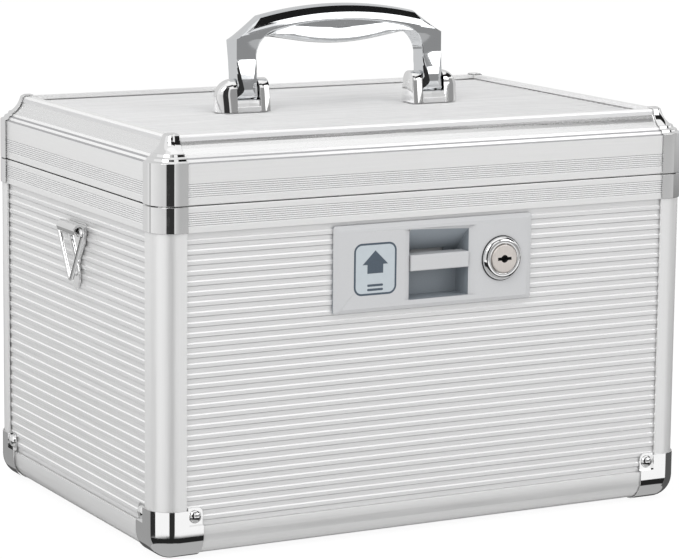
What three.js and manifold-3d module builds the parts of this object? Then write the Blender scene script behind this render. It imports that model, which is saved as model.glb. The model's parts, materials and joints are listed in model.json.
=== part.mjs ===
// A locking medicine case: ridged panels held in aluminium extrusions, chromed
// corners, a lid with a coved frame and a folding handle, and a push-up latch
// with a key lock. Millimetres, +Z up, the front of the case faces -Y, and the
// origin is on the floor under the middle of the case.

import * as THREE from 'three';
import { mergeVertices } from 'three/addons/utils/BufferGeometryUtils.js';
import Module from 'manifold-3d';

const wasm = await Module();
wasm.setup();

// Driving dimensions of the case, over the aluminium frame
const caseWidth = 320;
const caseDepth = 220;
const caseHeight = 218.7;
const lidDepth = 34.7;
const cornerRadius = 12;

// Clearances and cutting allowances
const fitGap = 0.3;
const mitreGap = 0.15;
const trimAllowance = 0.02;
const overrun = 2;
const weldTolerance = 1e-4;

// The corner extrusion that the posts and the bottom rails are cut from
const profileFace = 16.4;
const lipThickness = 1.2;
const slotDepth = 6.4;

// Ridged sheet
const boardThickness = 3.3;
const ridgeHeight = 0.5;
const ridgeWidth = 1.3;
const ridgeCrestShare = 0.45;
const ridgePitch = 5.325;
const firstRidgeMargin = 5;
const lastRidgeMargin = 3;

// Pressed chrome covers on the corners
const coverThickness = 0.6;
const coverOverlap = 0.1;

// How far the lock stands out of the front, and the hinge barrels out of the back
const fittingsProud = 5;

// Values that follow from those above
const halfWidth = caseWidth / 2;
const halfDepth = caseDepth / 2;
const splitHeight = caseHeight - lidDepth;
const slotWidth = ridgeHeight + boardThickness + 2 * fitGap;
const coverProud = fitGap + coverThickness;
const coverLeg = profileFace + coverOverlap;
const railLift = coverProud;
const railTop = railLift + profileFace;
const profileInner = 2 * lipThickness + slotWidth;
const ridgeCrestDepth = lipThickness + fitGap;
const panelFaceDepth = ridgeCrestDepth + ridgeHeight;
const panelBackDepth = panelFaceDepth + boardThickness;
const slotEnd = profileFace - slotDepth;

// Rims at the split line
const splitGap = 0.6;
const baseRimHeight = 13.4;
const baseRimTop = splitHeight - splitGap / 2;
const baseRimBottom = baseRimTop - baseRimHeight;
const lidBottom = splitHeight + splitGap / 2;
const rimWall = 2;
const rimChamfer = 0.5;
const tongueThickness = 1.6;
const tongueHeight = 5.3;
const ribCount = 7;
const ribPitch = 1.08;
const ribWidth = 0.7;
const ribDepth = 0.35;
const baseRibMargin = 2.9;
const lidRibMargin = 3.6;

// Coved top of the lid frame
const beadTread = 1.6;
const beadTreadRise = 0.6;
const beadRiser = 1.35;
const beadRiserRun = 0.5;
const beadCount = 2;
const coveRadius = 14.8;
const coveStart = 35;
const coveEnd = 75;
const coveSteps = 5;
const lidLipWidth = 4;
const lidLipThickness = 2.1;
const lidLipEdge = 0.5;
const lidLipRise = 1.16;
const lidFrameDrop = 7.6;
const lidTopRadius = 2.5;
const lidSlotDepth = 3.3;
const coveCentreX = coveRadius * Math.sin(THREE.MathUtils.degToRad(coveStart));
const coveCentreZ = coveRadius * Math.cos(THREE.MathUtils.degToRad(coveStart));
const coveRise = coveCentreZ - coveRadius * Math.cos(THREE.MathUtils.degToRad(coveEnd));
const lidWallTop = caseHeight - beadCount * (beadTreadRise + beadRiser) - coveRise - lidLipRise;

// Facets of the rounded edges
const cornerSteps = 5;
const edgeSteps = 5;
const leastRadius = 0.05;

const unitX = new THREE.Vector3(1, 0, 0);
const unitY = new THREE.Vector3(0, 1, 0);
const unitZ = new THREE.Vector3(0, 0, 1);

// A profile drawn flat is turned so that it is extruded along one of the axes.
// Along x it is drawn as (y, z), along y as (x, z) and along z as (x, y).
const turnTo = {
  x: new THREE.Matrix4().makeBasis(unitY, unitZ, unitX),
  y: new THREE.Matrix4().makeBasis(unitX, unitZ, unitY.clone().negate()),
  z: new THREE.Matrix4(),
};

function solidOf(geometry) {
  geometry.deleteAttribute('normal');
  geometry.deleteAttribute('uv');
  const welded = mergeVertices(geometry, weldTolerance);
  return new wasm.Manifold(new wasm.Mesh({
    numProp: 3,
    vertProperties: Float32Array.from(welded.attributes.position.array),
    triVerts: Uint32Array.from(welded.index.array),
  }));
}

function geometryOf(solid) {
  const { vertProperties, triVerts } = solid.getMesh();
  const geometry = new THREE.BufferGeometry();
  geometry.setAttribute('position', new THREE.BufferAttribute(Float32Array.from(vertProperties), 3));
  geometry.setIndex(new THREE.BufferAttribute(Uint32Array.from(triVerts), 1));
  geometry.computeVertexNormals();
  return geometry;
}

// Mirrored copy: sx and sy are 1 or -1
function mirrored(geometry, sx, sy) {
  const copy = geometry.clone().scale(sx, sy, 1);
  if (sx * sy < 0) {
    const index = copy.index;
    for (let i = 0; i < index.count; i += 3) {
      const first = index.getX(i);
      index.setX(i, index.getX(i + 1));
      index.setX(i + 1, first);
    }
  }
  copy.computeVertexNormals();
  return copy;
}

function arcPoints(centreA, centreB, radius, fromDegrees, toDegrees, steps) {
  const points = [];
  for (let i = 0; i <= steps; i += 1) {
    const angle = THREE.MathUtils.degToRad(fromDegrees + ((toDegrees - fromDegrees) * i) / steps);
    points.push([centreA + radius * Math.cos(angle), centreB + radius * Math.sin(angle)]);
  }
  return points;
}

function circlePoints(centreA, centreB, radius, sides) {
  return arcPoints(centreA, centreB, radius, 0, 360, sides).slice(0, sides);
}

function rectanglePoints(fromA, toA, fromB, toB) {
  return [[fromA, fromB], [toA, fromB], [toA, toB], [fromA, toB]];
}

function prism(axis, outline, from, to) {
  const shape = new THREE.Shape(outline.map(([a, b]) => new THREE.Vector2(a, b)));
  const geometry = new THREE.ExtrudeGeometry(shape, { depth: to - from, bevelEnabled: false });
  geometry.translate(0, 0, axis === 'y' ? -to : from);
  geometry.applyMatrix4(turnTo[axis]);
  return solidOf(geometry);
}

function block(fromX, toX, fromY, toY, fromZ, toZ) {
  return prism('z', rectanglePoints(fromX, toX, fromY, toY), fromZ, toZ);
}

function rod(axis, centreA, centreB, radius, from, to, sides) {
  return prism(axis, circlePoints(centreA, centreB, radius, sides), from, to);
}

function roundedRectangle(fromA, toA, fromB, toB, radius, steps) {
  return [
    ...arcPoints(toA - radius, toB - radius, radius, 0, 90, steps),
    ...arcPoints(fromA + radius, toB - radius, radius, 90, 180, steps),
    ...arcPoints(fromA + radius, fromB + radius, radius, 180, 270, steps),
    ...arcPoints(toA - radius, fromB + radius, radius, 270, 360, steps),
  ];
}

// Closed solid through rings of equally many points, from the lowest to the highest
function stackedRings(levels) {
  const count = levels[0].ring.length;
  const positions = [];
  const index = [];
  for (const { z, ring } of levels) {
    for (const [a, b] of ring) positions.push(a, b, z);
  }
  for (let level = 0; level < levels.length - 1; level += 1) {
    for (let i = 0; i < count; i += 1) {
      const a = level * count + i;
      const b = level * count + ((i + 1) % count);
      index.push(a, b, b + count, a, b + count, a + count);
    }
  }
  const top = (levels.length - 1) * count;
  for (let i = 1; i < count - 1; i += 1) {
    index.push(0, i + 1, i);
    index.push(top, top + i, top + i + 1);
  }
  const geometry = new THREE.BufferGeometry();
  geometry.setAttribute('position', new THREE.Float32BufferAttribute(positions, 3));
  geometry.setIndex(index);
  return geometry;
}

// Outer form of the base: upright edges and lower edges rounded to one ball radius
function baseEnvelope(grow, top) {
  const ball = cornerRadius + grow;
  const levels = [];
  const addLevel = (z, reach) => {
    const a = halfWidth - cornerRadius + reach;
    const b = halfDepth - cornerRadius + reach;
    levels.push({ z, ring: roundedRectangle(-a, a, -b, b, reach, cornerSteps) });
  };
  for (const [reach, height] of arcPoints(0, 0, ball, -90, 0, edgeSteps)) {
    addLevel(railLift + cornerRadius + height, Math.max(reach, leastRadius));
  }
  addLevel(top, ball);
  return solidOf(stackedRings(levels));
}

// Outer line of the lid frame as (inset, z), from the wall's foot to the lip
function lidLine() {
  const points = [[0, lidBottom], [0, lidWallTop]];
  let inset = 0;
  let z = lidWallTop;
  for (let i = 0; i < beadCount; i += 1) {
    inset += beadTread;
    z += beadTreadRise;
    points.push([inset, z]);
    inset += beadRiserRun;
    z += beadRiser;
    points.push([inset, z]);
  }
  const coveX = inset + beadRiserRun - coveCentreX;
  points.push(...arcPoints(coveX, z + coveCentreZ, coveRadius, coveStart - 90, coveEnd - 90, coveSteps));
  const [edgeInset] = points[points.length - 1];
  points.push([edgeInset + lidLipEdge / 2, caseHeight - lidLipEdge]);
  points.push([edgeInset + lidLipEdge * 2, caseHeight]);
  return points;
}

const lidInset = lidLine().at(-1)[0];
const lidLipEnd = lidInset + lidLipWidth;

// The line moved outwards by an even distance
function offsetLine(points, distance) {
  return points.map(([inset, z], i) => {
    const [previousInset, previousZ] = points[Math.max(i - 1, 0)];
    const [nextInset, nextZ] = points[Math.min(i + 1, points.length - 1)];
    const into = new THREE.Vector2(inset - previousInset, z - previousZ).normalize();
    const out = new THREE.Vector2(nextInset - inset, nextZ - z).normalize();
    if (i === 0) into.copy(out);
    if (i === points.length - 1) out.set(1, 0);
    const along = into.clone().add(out).normalize();
    const reach = distance / along.dot(into);
    return [inset - along.y * reach, z + along.x * reach];
  });
}

// Outer form of the lid, its upright edges drawn in to a smaller radius at the lip
function lidEnvelope(grow) {
  const line = lidLine();
  const moved = offsetLine(line, grow);
  const ringAt = (inset, radius) => {
    const a = halfWidth - inset;
    const b = halfDepth - inset;
    return roundedRectangle(-a, a, -b, b, radius, cornerSteps);
  };
  const radiusAt = (inset) => grow + THREE.MathUtils.lerp(cornerRadius, lidTopRadius, inset / lidInset);
  const levels = [{ z: lidBottom - overrun, ring: ringAt(-grow, radiusAt(0)) }];
  moved.forEach(([inset, z], i) => {
    if (i > 0) levels.push({ z, ring: ringAt(inset, radiusAt(line[i][0])) });
  });
  return solidOf(stackedRings(levels));
}

// Section of the corner extrusion, measured inwards from its two outer faces:
// a rounded outer corner and a slot for the sheet in each leg
function cornerSection() {
  const inner = profileInner;
  const slotBack = inner - lipThickness;
  return [
    ...arcPoints(cornerRadius, cornerRadius, cornerRadius, 180, 270, cornerSteps),
    [profileFace, 0],
    [profileFace, lipThickness],
    [slotEnd, lipThickness],
    [slotEnd, slotBack],
    [profileFace, slotBack],
    [profileFace, inner],
    [inner, inner],
    [inner, profileFace],
    [slotBack, profileFace],
    [slotBack, slotEnd],
    [lipThickness, slotEnd],
    [lipThickness, profileFace],
    [0, profileFace],
  ];
}

// Fine V grooves across an outer wall, as points from the lowest groove up
function ribPoints(fromZ) {
  const points = [];
  for (let i = 0; i < ribCount; i += 1) {
    const z = fromZ + (i + 1 / 2) * ribPitch;
    points.push([0, z - ribWidth / 2], [ribDepth, z], [0, z + ribWidth / 2]);
  }
  return points;
}

// Section of the base rim: slot for the panel below, tongue for the lid above
function baseRimSection() {
  const inner = profileInner;
  const slotTop = baseRimBottom + slotDepth;
  const tongueOuter = rimWall + fitGap;
  const tongueInner = tongueOuter + tongueThickness;
  const tongueTop = baseRimTop + tongueHeight;
  return [
    [lipThickness, baseRimBottom],
    [lipThickness, slotTop],
    [inner - lipThickness, slotTop],
    [inner - lipThickness, baseRimBottom],
    [inner, baseRimBottom],
    [inner, baseRimTop],
    [tongueInner, baseRimTop],
    [tongueInner, tongueTop],
    [tongueOuter, tongueTop],
    [tongueOuter, baseRimTop],
    [rimChamfer, baseRimTop],
    [0, baseRimTop - rimChamfer],
    ...ribPoints(baseRimBottom + baseRibMargin).reverse(),
    [0, baseRimBottom],
  ];
}

// Section of the lid frame: ribbed wall, beads, cove, lip and a slot for the top panel
function lidRimSection() {
  const line = lidLine();
  const slotTop = caseHeight - lidLipThickness;
  const slotFloor = slotTop - slotWidth;
  const ceiling = slotFloor - lipThickness;
  const slotInset = lidLipEnd - lidSlotDepth;
  return [
    [rimWall, lidBottom],
    [rimWall, ceiling - lidFrameDrop],
    [lidLipEnd, ceiling],
    [lidLipEnd, slotFloor],
    [slotInset, slotFloor],
    [slotInset, slotTop],
    [lidLipEnd, slotTop],
    [lidLipEnd, caseHeight],
    ...line.slice(1).reverse(),
    ...ribPoints(lidBottom + lidRibMargin).reverse(),
    [0, lidBottom + rimChamfer],
    [rimChamfer, lidBottom],
  ];
}

// A frame bar cut from a section, mitred at both ends and rounded with the corner
function frameBar(side, section, reach, envelope) {
  const lengthwise = side === 'front';
  const half = lengthwise ? halfWidth : halfDepth;
  const across = lengthwise ? halfDepth : halfWidth;
  const outline = section.map(([inset, z]) => [inset - across, z]);
  const bar = prism(lengthwise ? 'x' : 'y', outline, -half - overrun, half + overrun);
  const end = half + overrun - mitreGap;
  const inner = half - reach - mitreGap;
  const low = Math.min(...section.map(([, z]) => z)) - overrun;
  const high = Math.max(...section.map(([, z]) => z)) + overrun;
  const mitre = [
    [-end, -across - overrun],
    [end, -across - overrun],
    [inner, reach - across],
    [-inner, reach - across],
  ];
  const plan = lengthwise ? mitre : mitre.map(([a, b]) => [b, a]);
  return bar.intersect(prism('z', plan, low, high)).intersect(envelope);
}

function railSection() {
  return cornerSection().map(([inset, rise]) => [inset, railLift + rise]);
}

function postSolid() {
  const outline = cornerSection().map(([a, b]) => [a - halfWidth, b - halfDepth]);
  return prism('z', outline, railTop, baseRimBottom);
}

// Section of a ridged sheet as (depth, position), with the ridges at the given places
function ridgedSection(from, to, places) {
  const crest = (ridgeWidth * ridgeCrestShare) / 2;
  const points = [[panelBackDepth, to], [panelBackDepth, from], [panelFaceDepth, from]];
  for (const place of places) {
    points.push([panelFaceDepth, place - ridgeWidth / 2], [ridgeCrestDepth, place - crest]);
    points.push([ridgeCrestDepth, place + crest], [panelFaceDepth, place + ridgeWidth / 2]);
  }
  points.push([panelFaceDepth, to]);
  return points;
}

function ridgePlaces(first, last) {
  const count = Math.floor((last - first) / ridgePitch);
  return Array.from({ length: count + 1 }, (unused, i) => first + i * ridgePitch);
}

const wallRidges = ridgePlaces(railTop + firstRidgeMargin, baseRimBottom - lastRidgeMargin);
const panelBottom = railTop - slotDepth + fitGap;
const panelTop = baseRimBottom + slotDepth - fitGap;
const panelReach = slotEnd + fitGap;

function wallPanel(side) {
  const lengthwise = side === 'front';
  const half = (lengthwise ? halfWidth : halfDepth) - panelReach;
  const across = lengthwise ? halfDepth : halfWidth;
  const section = ridgedSection(panelBottom, panelTop, wallRidges);
  return prism(lengthwise ? 'x' : 'y', section.map(([depth, z]) => [depth - across, z]), -half, half);
}

function floorPanel() {
  const a = halfWidth - panelReach;
  const b = halfDepth - panelReach;
  const low = railLift + lipThickness + fitGap;
  return block(-a, a, -b, b, low, low + boardThickness + ridgeHeight);
}

const lidPanelCrest = caseHeight - lidLipThickness - fitGap;

function lidPanel() {
  const reach = lidLipEnd - lidSlotDepth + fitGap;
  const half = halfDepth - reach;
  const span = Math.floor((halfDepth - lidLipEnd - ridgeWidth) / ridgePitch) * ridgePitch;
  const section = ridgedSection(-half, half, ridgePlaces(-span, span));
  const outline = section.map(([depth, y]) => [y, lidPanelCrest + ridgeCrestDepth - depth]);
  return prism('x', outline, reach - halfWidth, halfWidth - reach);
}

// Chromed covers, made for the corner at -X, -Y
function cornerColumn(reach, fromZ, toZ) {
  return block(-halfWidth - overrun, reach - halfWidth, -halfDepth - overrun, reach - halfDepth, fromZ, toZ);
}

function lidCorner() {
  const shell = lidEnvelope(coverProud).subtract(lidEnvelope(fitGap));
  return shell.intersect(cornerColumn(coverLeg, lidBottom, caseHeight + overrun));
}

function baseShell() {
  return baseEnvelope(coverProud, splitHeight).subtract(baseEnvelope(fitGap, splitHeight + overrun));
}

function rimCorner() {
  return baseShell().intersect(cornerColumn(coverLeg, baseRimBottom, baseRimTop));
}

// Foot cap: a ball corner with a leg up the post, a leg along each rail and a
// riveted tab on each panel
const capReach = 9.1;
const capRise = 10.1;
const tabRise = 11.2;
const tabRadius = 3;
const capLeg = profileFace + capReach;
const capHeight = profileFace + capRise;
const tabHeight = profileFace + tabRise;

function capTab() {
  const ledge = profileFace + fitGap;
  const web = ledge + coverThickness;
  const foot = railTop + fitGap;
  const back = ridgeCrestDepth - fitGap;
  const outline = [
    [ledge, foot],
    [capLeg, foot],
    ...arcPoints(capLeg - tabRadius, tabHeight - tabRadius, tabRadius, 0, 90, edgeSteps),
    [ledge, tabHeight],
  ];
  const place = (a, b) => [a - halfWidth, b];
  const frontY = -coverProud - halfDepth;
  const backY = back - halfDepth;
  const tab = prism('y', outline.map(([a, b]) => place(a, b)), backY - coverThickness, backY);
  const upright = block(ledge - halfWidth, web - halfWidth, frontY, backY, foot, capHeight);
  const sill = block(ledge - halfWidth, capLeg - halfWidth, frontY, backY, foot, foot + coverThickness);
  return tab.add(upright).add(sill);
}

// The same piece seen from the other face of the corner: x and y change places
function acrossCorner(solid) {
  const geometry = geometryOf(solid);
  const swap = new THREE.Matrix4().makeBasis(unitY, unitX, unitZ);
  geometry.translate(halfWidth, halfDepth, 0).applyMatrix4(swap).translate(-halfWidth, -halfDepth, 0);
  const index = geometry.index;
  for (let i = 0; i < index.count; i += 3) {
    const first = index.getX(i);
    index.setX(i, index.getX(i + 1));
    index.setX(i + 1, first);
  }
  return solidOf(geometry);
}

function footCap() {
  const leg = profileFace + coverProud;
  const post = cornerColumn(leg, -overrun, capHeight);
  const rail = block(
    -halfWidth - overrun, capLeg - halfWidth, -halfDepth - overrun, leg - halfDepth,
    -overrun, railTop + coverProud,
  );
  const shell = baseShell().intersect(post.add(rail).add(acrossCorner(rail)));
  const tab = capTab();
  return shell.add(tab).add(acrossCorner(tab));
}

// Lock: bevelled plate with a finger recess, fitted through the front panel below the rim
const lockRimGap = 2.1;
const lockHalfHeight = 23.2;
const lockSpacing = 19.3;
const plateEndMargin = 7.6;
const plateRadius = 1.2;
const plateEdge = 1;
const plateBevelX = 2.8;
const plateBevelZ = 2.2;
const plateFaceProud = 1.4;
const recessX = 3.2;
const recessHalf = 18.1;
const recessSill = 4.7;
const recessHead = 4.2;
const recessDepth = 15;
const recessChamferWidth = 3.9;
const recessChamferDepth = 1.9;
const recessSlope = 1;
const pocketWall = 1.5;
const slopeWall = 1.9;

const lockZ = baseRimBottom - lockRimGap - lockHalfHeight;
const lockBottom = lockZ - lockHalfHeight;
const lockTop = lockZ + lockHalfHeight;
const recessLeft = recessX - recessHalf;
const recessRight = recessX + recessHalf;
const recessBottom = lockBottom + recessSill;
const recessTop = lockTop - recessHead;
const plateBackY = ridgeCrestDepth - fitGap - halfDepth;
const plateFaceY = -plateFaceProud - halfDepth;
const recessBackY = plateFaceY + recessDepth;
const pocketBackY = recessBackY + pocketWall;
const slopeFootZ = recessTop - recessSlope * recessDepth;

// Key lock beside the recess
const barrelRadius = 9.5;
const barrelLength = 20.6;
const ringRadius = 11.8;
const ringRise = 2.5;
const plugFaceRadius = 7.55;
const plugRadius = 5.85;
const plugProud = 0.8;
const plugFaceDepth = 2.9;
const keywayLength = 7.4;
const keywayWidth = 1.7;
const keywayDepth = 6;
const turnedSides = 32;

const lockX = recessRight + lockSpacing;
const lockHalfLength = lockX + ringRadius + plateEndMargin;
const plugFrontY = -fittingsProud - halfDepth;
const ringFrontY = plugFrontY + plugProud;
const barrelBackY = plateFaceY - fitGap - ringRise + barrelLength;

// Bolt above the plate, that slides back out of the striker as the slider rises
const latchTravel = 5;
const boltHalf = 5;
const boltLift = 0.8;
const boltHeight = 5;
const boltNose = 0.5;
const boltLength = 10.8;
const crossPinRadius = 1.2;
const crossPinShare = 0.45;
const guideThickness = 1.5;
const guideStandOff = 0.7;
const guideMargin = 4;
const cheekThickness = 1.2;
const cheekMargin = 1.4;

const latchX = recessX;
const boltBottom = lockTop + boltLift;
const boltTop = boltBottom + boltHeight;
const boltMidZ = boltBottom + boltHeight / 2;
const pinSlotRadius = crossPinRadius + fitGap;
const cheekReach = pinSlotRadius + cheekMargin;

// Latch: a finger bar on a slider behind the recess, pushed up against a spring
const barHalf = 17.5;
const barDrop = 3.5;
const barHeight = 8.5;
const barDepth = 11;
const barInset = 0.5;
const barSlopePlay = 0.4;
const barChamfer = 0.5;
const stemHalf = 10;
const stemInset = 1;
const stemHeight = 3;
const webThickness = 1.5;
const webReach = 12.8;
const webFoot = 0.5;

const barLeft = latchX - barHalf;
const barRight = latchX + barHalf;
const barBottom = lockZ - barDrop;
const barTop = barBottom + barHeight;
const barFrontY = plateFaceY + barInset;
const barBackY = barFrontY + barDepth;
const barTopBackY = plateFaceY + (recessTop - barSlopePlay - barTop - latchTravel) / recessSlope;
const barBackTop = barTop - recessSlope * (barBackY - barTopBackY);
const stemBottom = barBottom + stemInset;
const stemTop = stemBottom + stemHeight;
const webLeft = barLeft;
const webRight = latchX + webReach;
const webBottom = recessBottom + webFoot;
const webTop = boltMidZ - latchTravel - cheekReach - fitGap;
const webFrontY = pocketBackY + fitGap;
const webBackY = webFrontY + webThickness;

// Striker on the lid, hooked down behind the base rim
const strikerHalf = 11.5;
const strikerThickness = 1.5;
const strikerClearance = 1.1;
const strikerFoot = 2.2;
const strikerHeadGap = 3.6;
const strikerBottom = boltBottom - strikerFoot;
const strikerFrontY = profileInner + strikerClearance - halfDepth;
const strikerBackY = strikerFrontY + strikerThickness;
const strikerShelf = baseRimTop + tongueHeight + fitGap;
const strikerTop = lidWallTop - strikerHeadGap;

const boltNoseY = strikerBackY + boltNose;
const crossPinY = boltNoseY + boltLength * crossPinShare;
const guideFrontY = strikerBackY + guideStandOff;
const guideBackY = guideFrontY + guideThickness;

function lockHousing() {
  const ringOf = (marginX, marginZ) => roundedRectangle(
    marginX - lockHalfLength, lockHalfLength - marginX, lockBottom + marginZ, lockTop - marginZ,
    plateRadius, edgeSteps,
  );
  const plate = stackedRings([
    { z: -plateBackY, ring: ringOf(0, 0) },
    { z: -plateBackY + plateEdge, ring: ringOf(0, 0) },
    { z: -plateFaceY, ring: ringOf(plateBevelX, plateBevelZ) },
  ]);
  plate.applyMatrix4(turnTo.y);
  const slopeAt = (y) => recessTop - recessSlope * (y - plateFaceY);
  const pocket = prism('x', [
    [plateBackY - fitGap, recessBottom - pocketWall],
    [pocketBackY, recessBottom - pocketWall],
    [pocketBackY, slopeAt(pocketBackY) + slopeWall],
    [plateBackY, slopeAt(plateBackY) + slopeWall],
    [plateBackY - fitGap, slopeAt(plateBackY) + slopeWall],
  ], recessLeft - pocketWall, recessRight + pocketWall);
  const cavity = prism('x', [
    [plateFaceY - overrun, recessBottom],
    [recessBackY, recessBottom],
    [recessBackY, slopeFootZ],
    [plateFaceY, recessTop],
    [plateFaceY - overrun, recessTop],
  ], recessLeft, recessRight);
  const chamfer = (x, way) => prism('z', [
    [x, plateFaceY - overrun],
    [x + way * recessChamferWidth, plateFaceY - overrun],
    [x + way * recessChamferWidth, plateFaceY],
    [x, plateFaceY + recessChamferDepth],
  ], recessBottom, recessTop);
  const stemSlot = block(
    latchX - stemHalf - fitGap, latchX + stemHalf + fitGap, barBackY, pocketBackY + overrun,
    stemBottom - fitGap, stemTop + latchTravel + fitGap,
  );
  const guideHalf = boltHalf + guideMargin;
  const guide = block(
    latchX - guideHalf, latchX + guideHalf, guideFrontY, guideBackY,
    slopeAt(guideFrontY) + slopeWall / 2, boltTop + guideMargin,
  );
  const guideHole = block(
    latchX - boltHalf - fitGap, latchX + boltHalf + fitGap, guideFrontY - overrun, guideBackY + overrun,
    boltBottom - fitGap, boltTop + fitGap,
  );
  const barrelHole = rod(
    'y', lockX, lockZ, barrelRadius + fitGap, plateFaceY - overrun, plateBackY + overrun, turnedSides,
  );
  return solidOf(plate).add(pocket).subtract(cavity)
    .subtract(chamfer(recessLeft, -1)).subtract(chamfer(recessRight, 1))
    .add(guide).subtract(guideHole).subtract(stemSlot).subtract(barrelHole);
}

// Openings in the front panel for the pocket and the barrel
function lockOpenings() {
  const margin = pocketWall + fitGap;
  const pocketHole = block(
    recessLeft - margin, recessRight + margin, -halfDepth, panelBackDepth + overrun - halfDepth,
    recessBottom - margin, recessTop + margin,
  );
  const barrelHole = rod(
    'y', lockX, lockZ, barrelRadius + fitGap, -halfDepth, panelBackDepth + overrun - halfDepth, turnedSides,
  );
  return pocketHole.add(barrelHole);
}

// Spring that pushes the slider down, coiled beside the bolt
const springSpacing = 13.5;
const springRadius = 2.3;
const springWire = 0.4;
const springTurns = 6;
const springSteps = 8;
const springSides = 5;
const springDrop = 3.2;
const springLength = 17.9;
const ledgeHalf = 4;
const ledgeThickness = 1.5;
const springStandOff = 0.9;
const springX = latchX - springSpacing;
const springFoot = lockZ - springDrop;
const springHead = springFoot + springLength;
const springY = webBackY + springStandOff + springRadius + springWire;
const ledgeBackY = springY + springRadius + springWire;

// A lug beside the lock's cam
const lugReach = 6;
const lugHalfHeight = 4;

function latchSlider() {
  const bar = prism('x', [
    [barFrontY + barChamfer, barBottom],
    [barBackY, barBottom],
    [barBackY, barBackTop],
    [barTopBackY, barTop],
    [barFrontY + barChamfer, barTop],
    [barFrontY, barTop - barChamfer],
    [barFrontY, barBottom + barChamfer],
  ], barLeft, barRight);
  const stemRight = latchX + stemHalf;
  const stem = block(latchX - stemHalf, stemRight, barBackY - barInset, webBackY, stemBottom, stemTop);
  const web = block(webLeft, webRight, webFrontY, webBackY, webBottom, webTop);
  const lug = block(
    webRight - barInset, webRight + lugReach, webFrontY, webBackY,
    lockZ - lugHalfHeight, lockZ + lugHalfHeight,
  );
  const ledge = block(
    springX - ledgeHalf, springX + ledgeHalf, webBackY - barInset, ledgeBackY,
    springFoot - fitGap - ledgeThickness, springFoot - fitGap,
  );
  const cheekFoot = boltMidZ - latchTravel - cheekReach;
  const cheekOutline = [
    [crossPinY - cheekReach, cheekFoot],
    [webFrontY, cheekFoot],
    [webFrontY, webTop - 2 * cheekMargin],
    [webBackY + cheekMargin, webTop - 2 * cheekMargin],
    [webBackY + cheekMargin, cheekFoot],
    [crossPinY + latchTravel + cheekReach, cheekFoot],
    [crossPinY + latchTravel + cheekReach, boltMidZ + cheekReach],
    [crossPinY - cheekReach, boltMidZ + cheekReach],
  ];
  const slotOutline = [
    ...arcPoints(crossPinY, boltMidZ, pinSlotRadius, 45, 225, edgeSteps),
    ...arcPoints(crossPinY + latchTravel, boltMidZ - latchTravel, pinSlotRadius, 225, 405, edgeSteps),
  ];
  const inner = boltHalf + fitGap;
  const outer = inner + cheekThickness;
  const slot = prism('x', slotOutline, latchX - outer - overrun, latchX + outer + overrun);
  const cheeks = [[-outer, -inner], [inner, outer]].map(([from, to]) => (
    prism('x', cheekOutline, latchX + from, latchX + to).subtract(slot)
  ));
  return bar.add(stem).add(web).add(lug).add(ledge).add(cheeks[0]).add(cheeks[1]);
}

function latchBolt() {
  const body = block(
    latchX - boltHalf, latchX + boltHalf, boltNoseY, boltNoseY + boltLength, boltBottom, boltTop,
  );
  const pinReach = boltHalf + fitGap + cheekThickness + fitGap;
  const pinLeft = latchX - pinReach;
  const pinRight = latchX + pinReach;
  return body.add(rod('x', crossPinY, boltMidZ, crossPinRadius, pinLeft, pinRight, 2 * springSteps));
}

// A path whose points are taken one for one as the rings of a tube
class WirePath extends THREE.Curve {
  constructor(points) {
    super();
    this.points = points;
  }

  getPoint(t, target = new THREE.Vector3()) {
    const place = Math.min(Math.max(t, 0), 1) * (this.points.length - 1);
    const i = Math.min(Math.floor(place), this.points.length - 2);
    return target.lerpVectors(this.points[i], this.points[i + 1], place - i);
  }

  getPointAt(u, target) {
    return this.getPoint(u, target);
  }

  getTangentAt(u, target) {
    return this.getTangent(u, target);
  }
}

function wire(points, radius, sides) {
  const shape = new THREE.Shape(circlePoints(0, 0, radius, sides).map(([a, b]) => new THREE.Vector2(a, b)));
  const extrudePath = new WirePath(points);
  const settings = { steps: points.length - 1, extrudePath, bevelEnabled: false };
  return solidOf(new THREE.ExtrudeGeometry(shape, settings));
}

function latchSpring() {
  const count = springTurns * springSteps;
  const points = [];
  for (let i = 0; i <= count; i += 1) {
    const angle = (i / springSteps) * 2 * Math.PI;
    const z = THREE.MathUtils.lerp(springFoot + springWire, springHead - springWire, i / count);
    const x = springX + springRadius * Math.cos(angle);
    const y = springY + springRadius * Math.sin(angle);
    points.push(new THREE.Vector3(x, y, z));
  }
  return wire(points, springWire, springSides);
}

// Cam and its washer behind the barrel
const camThickness = 2;
const camLength = 22;
const camTip = 4.5;
const camHub = 8;
const camGap = 0.8;
const washerRadius = 7.5;
const washerThickness = 2;
const camFrontY = barrelBackY + camGap;
const camBackY = camFrontY + camThickness;
const washerFrontY = camBackY + fitGap;
const washerBackY = washerFrontY + washerThickness;

// Cover over the mechanism inside the case, open towards the front panel
const lockCoverWall = 1.6;
const lockCoverEnd = 12;
const lockCoverFoot = 4;
const lockCoverPlay = 3.2;
const lockCoverLeft = barLeft - lockCoverEnd;
const lockCoverRight = lockX + camHub + lockCoverEnd;
const lockCoverBottom = lockZ - camLength - lockCoverFoot;
const lockCoverTop = boltMidZ + cheekReach + latchTravel + fitGap + lockCoverWall;
const cheekBackY = crossPinY + latchTravel + cheekReach;
const springBackY = springY + springRadius + springWire;
const lockCoverBackY = Math.max(washerBackY, cheekBackY, springBackY) + lockCoverPlay + lockCoverWall;

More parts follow.
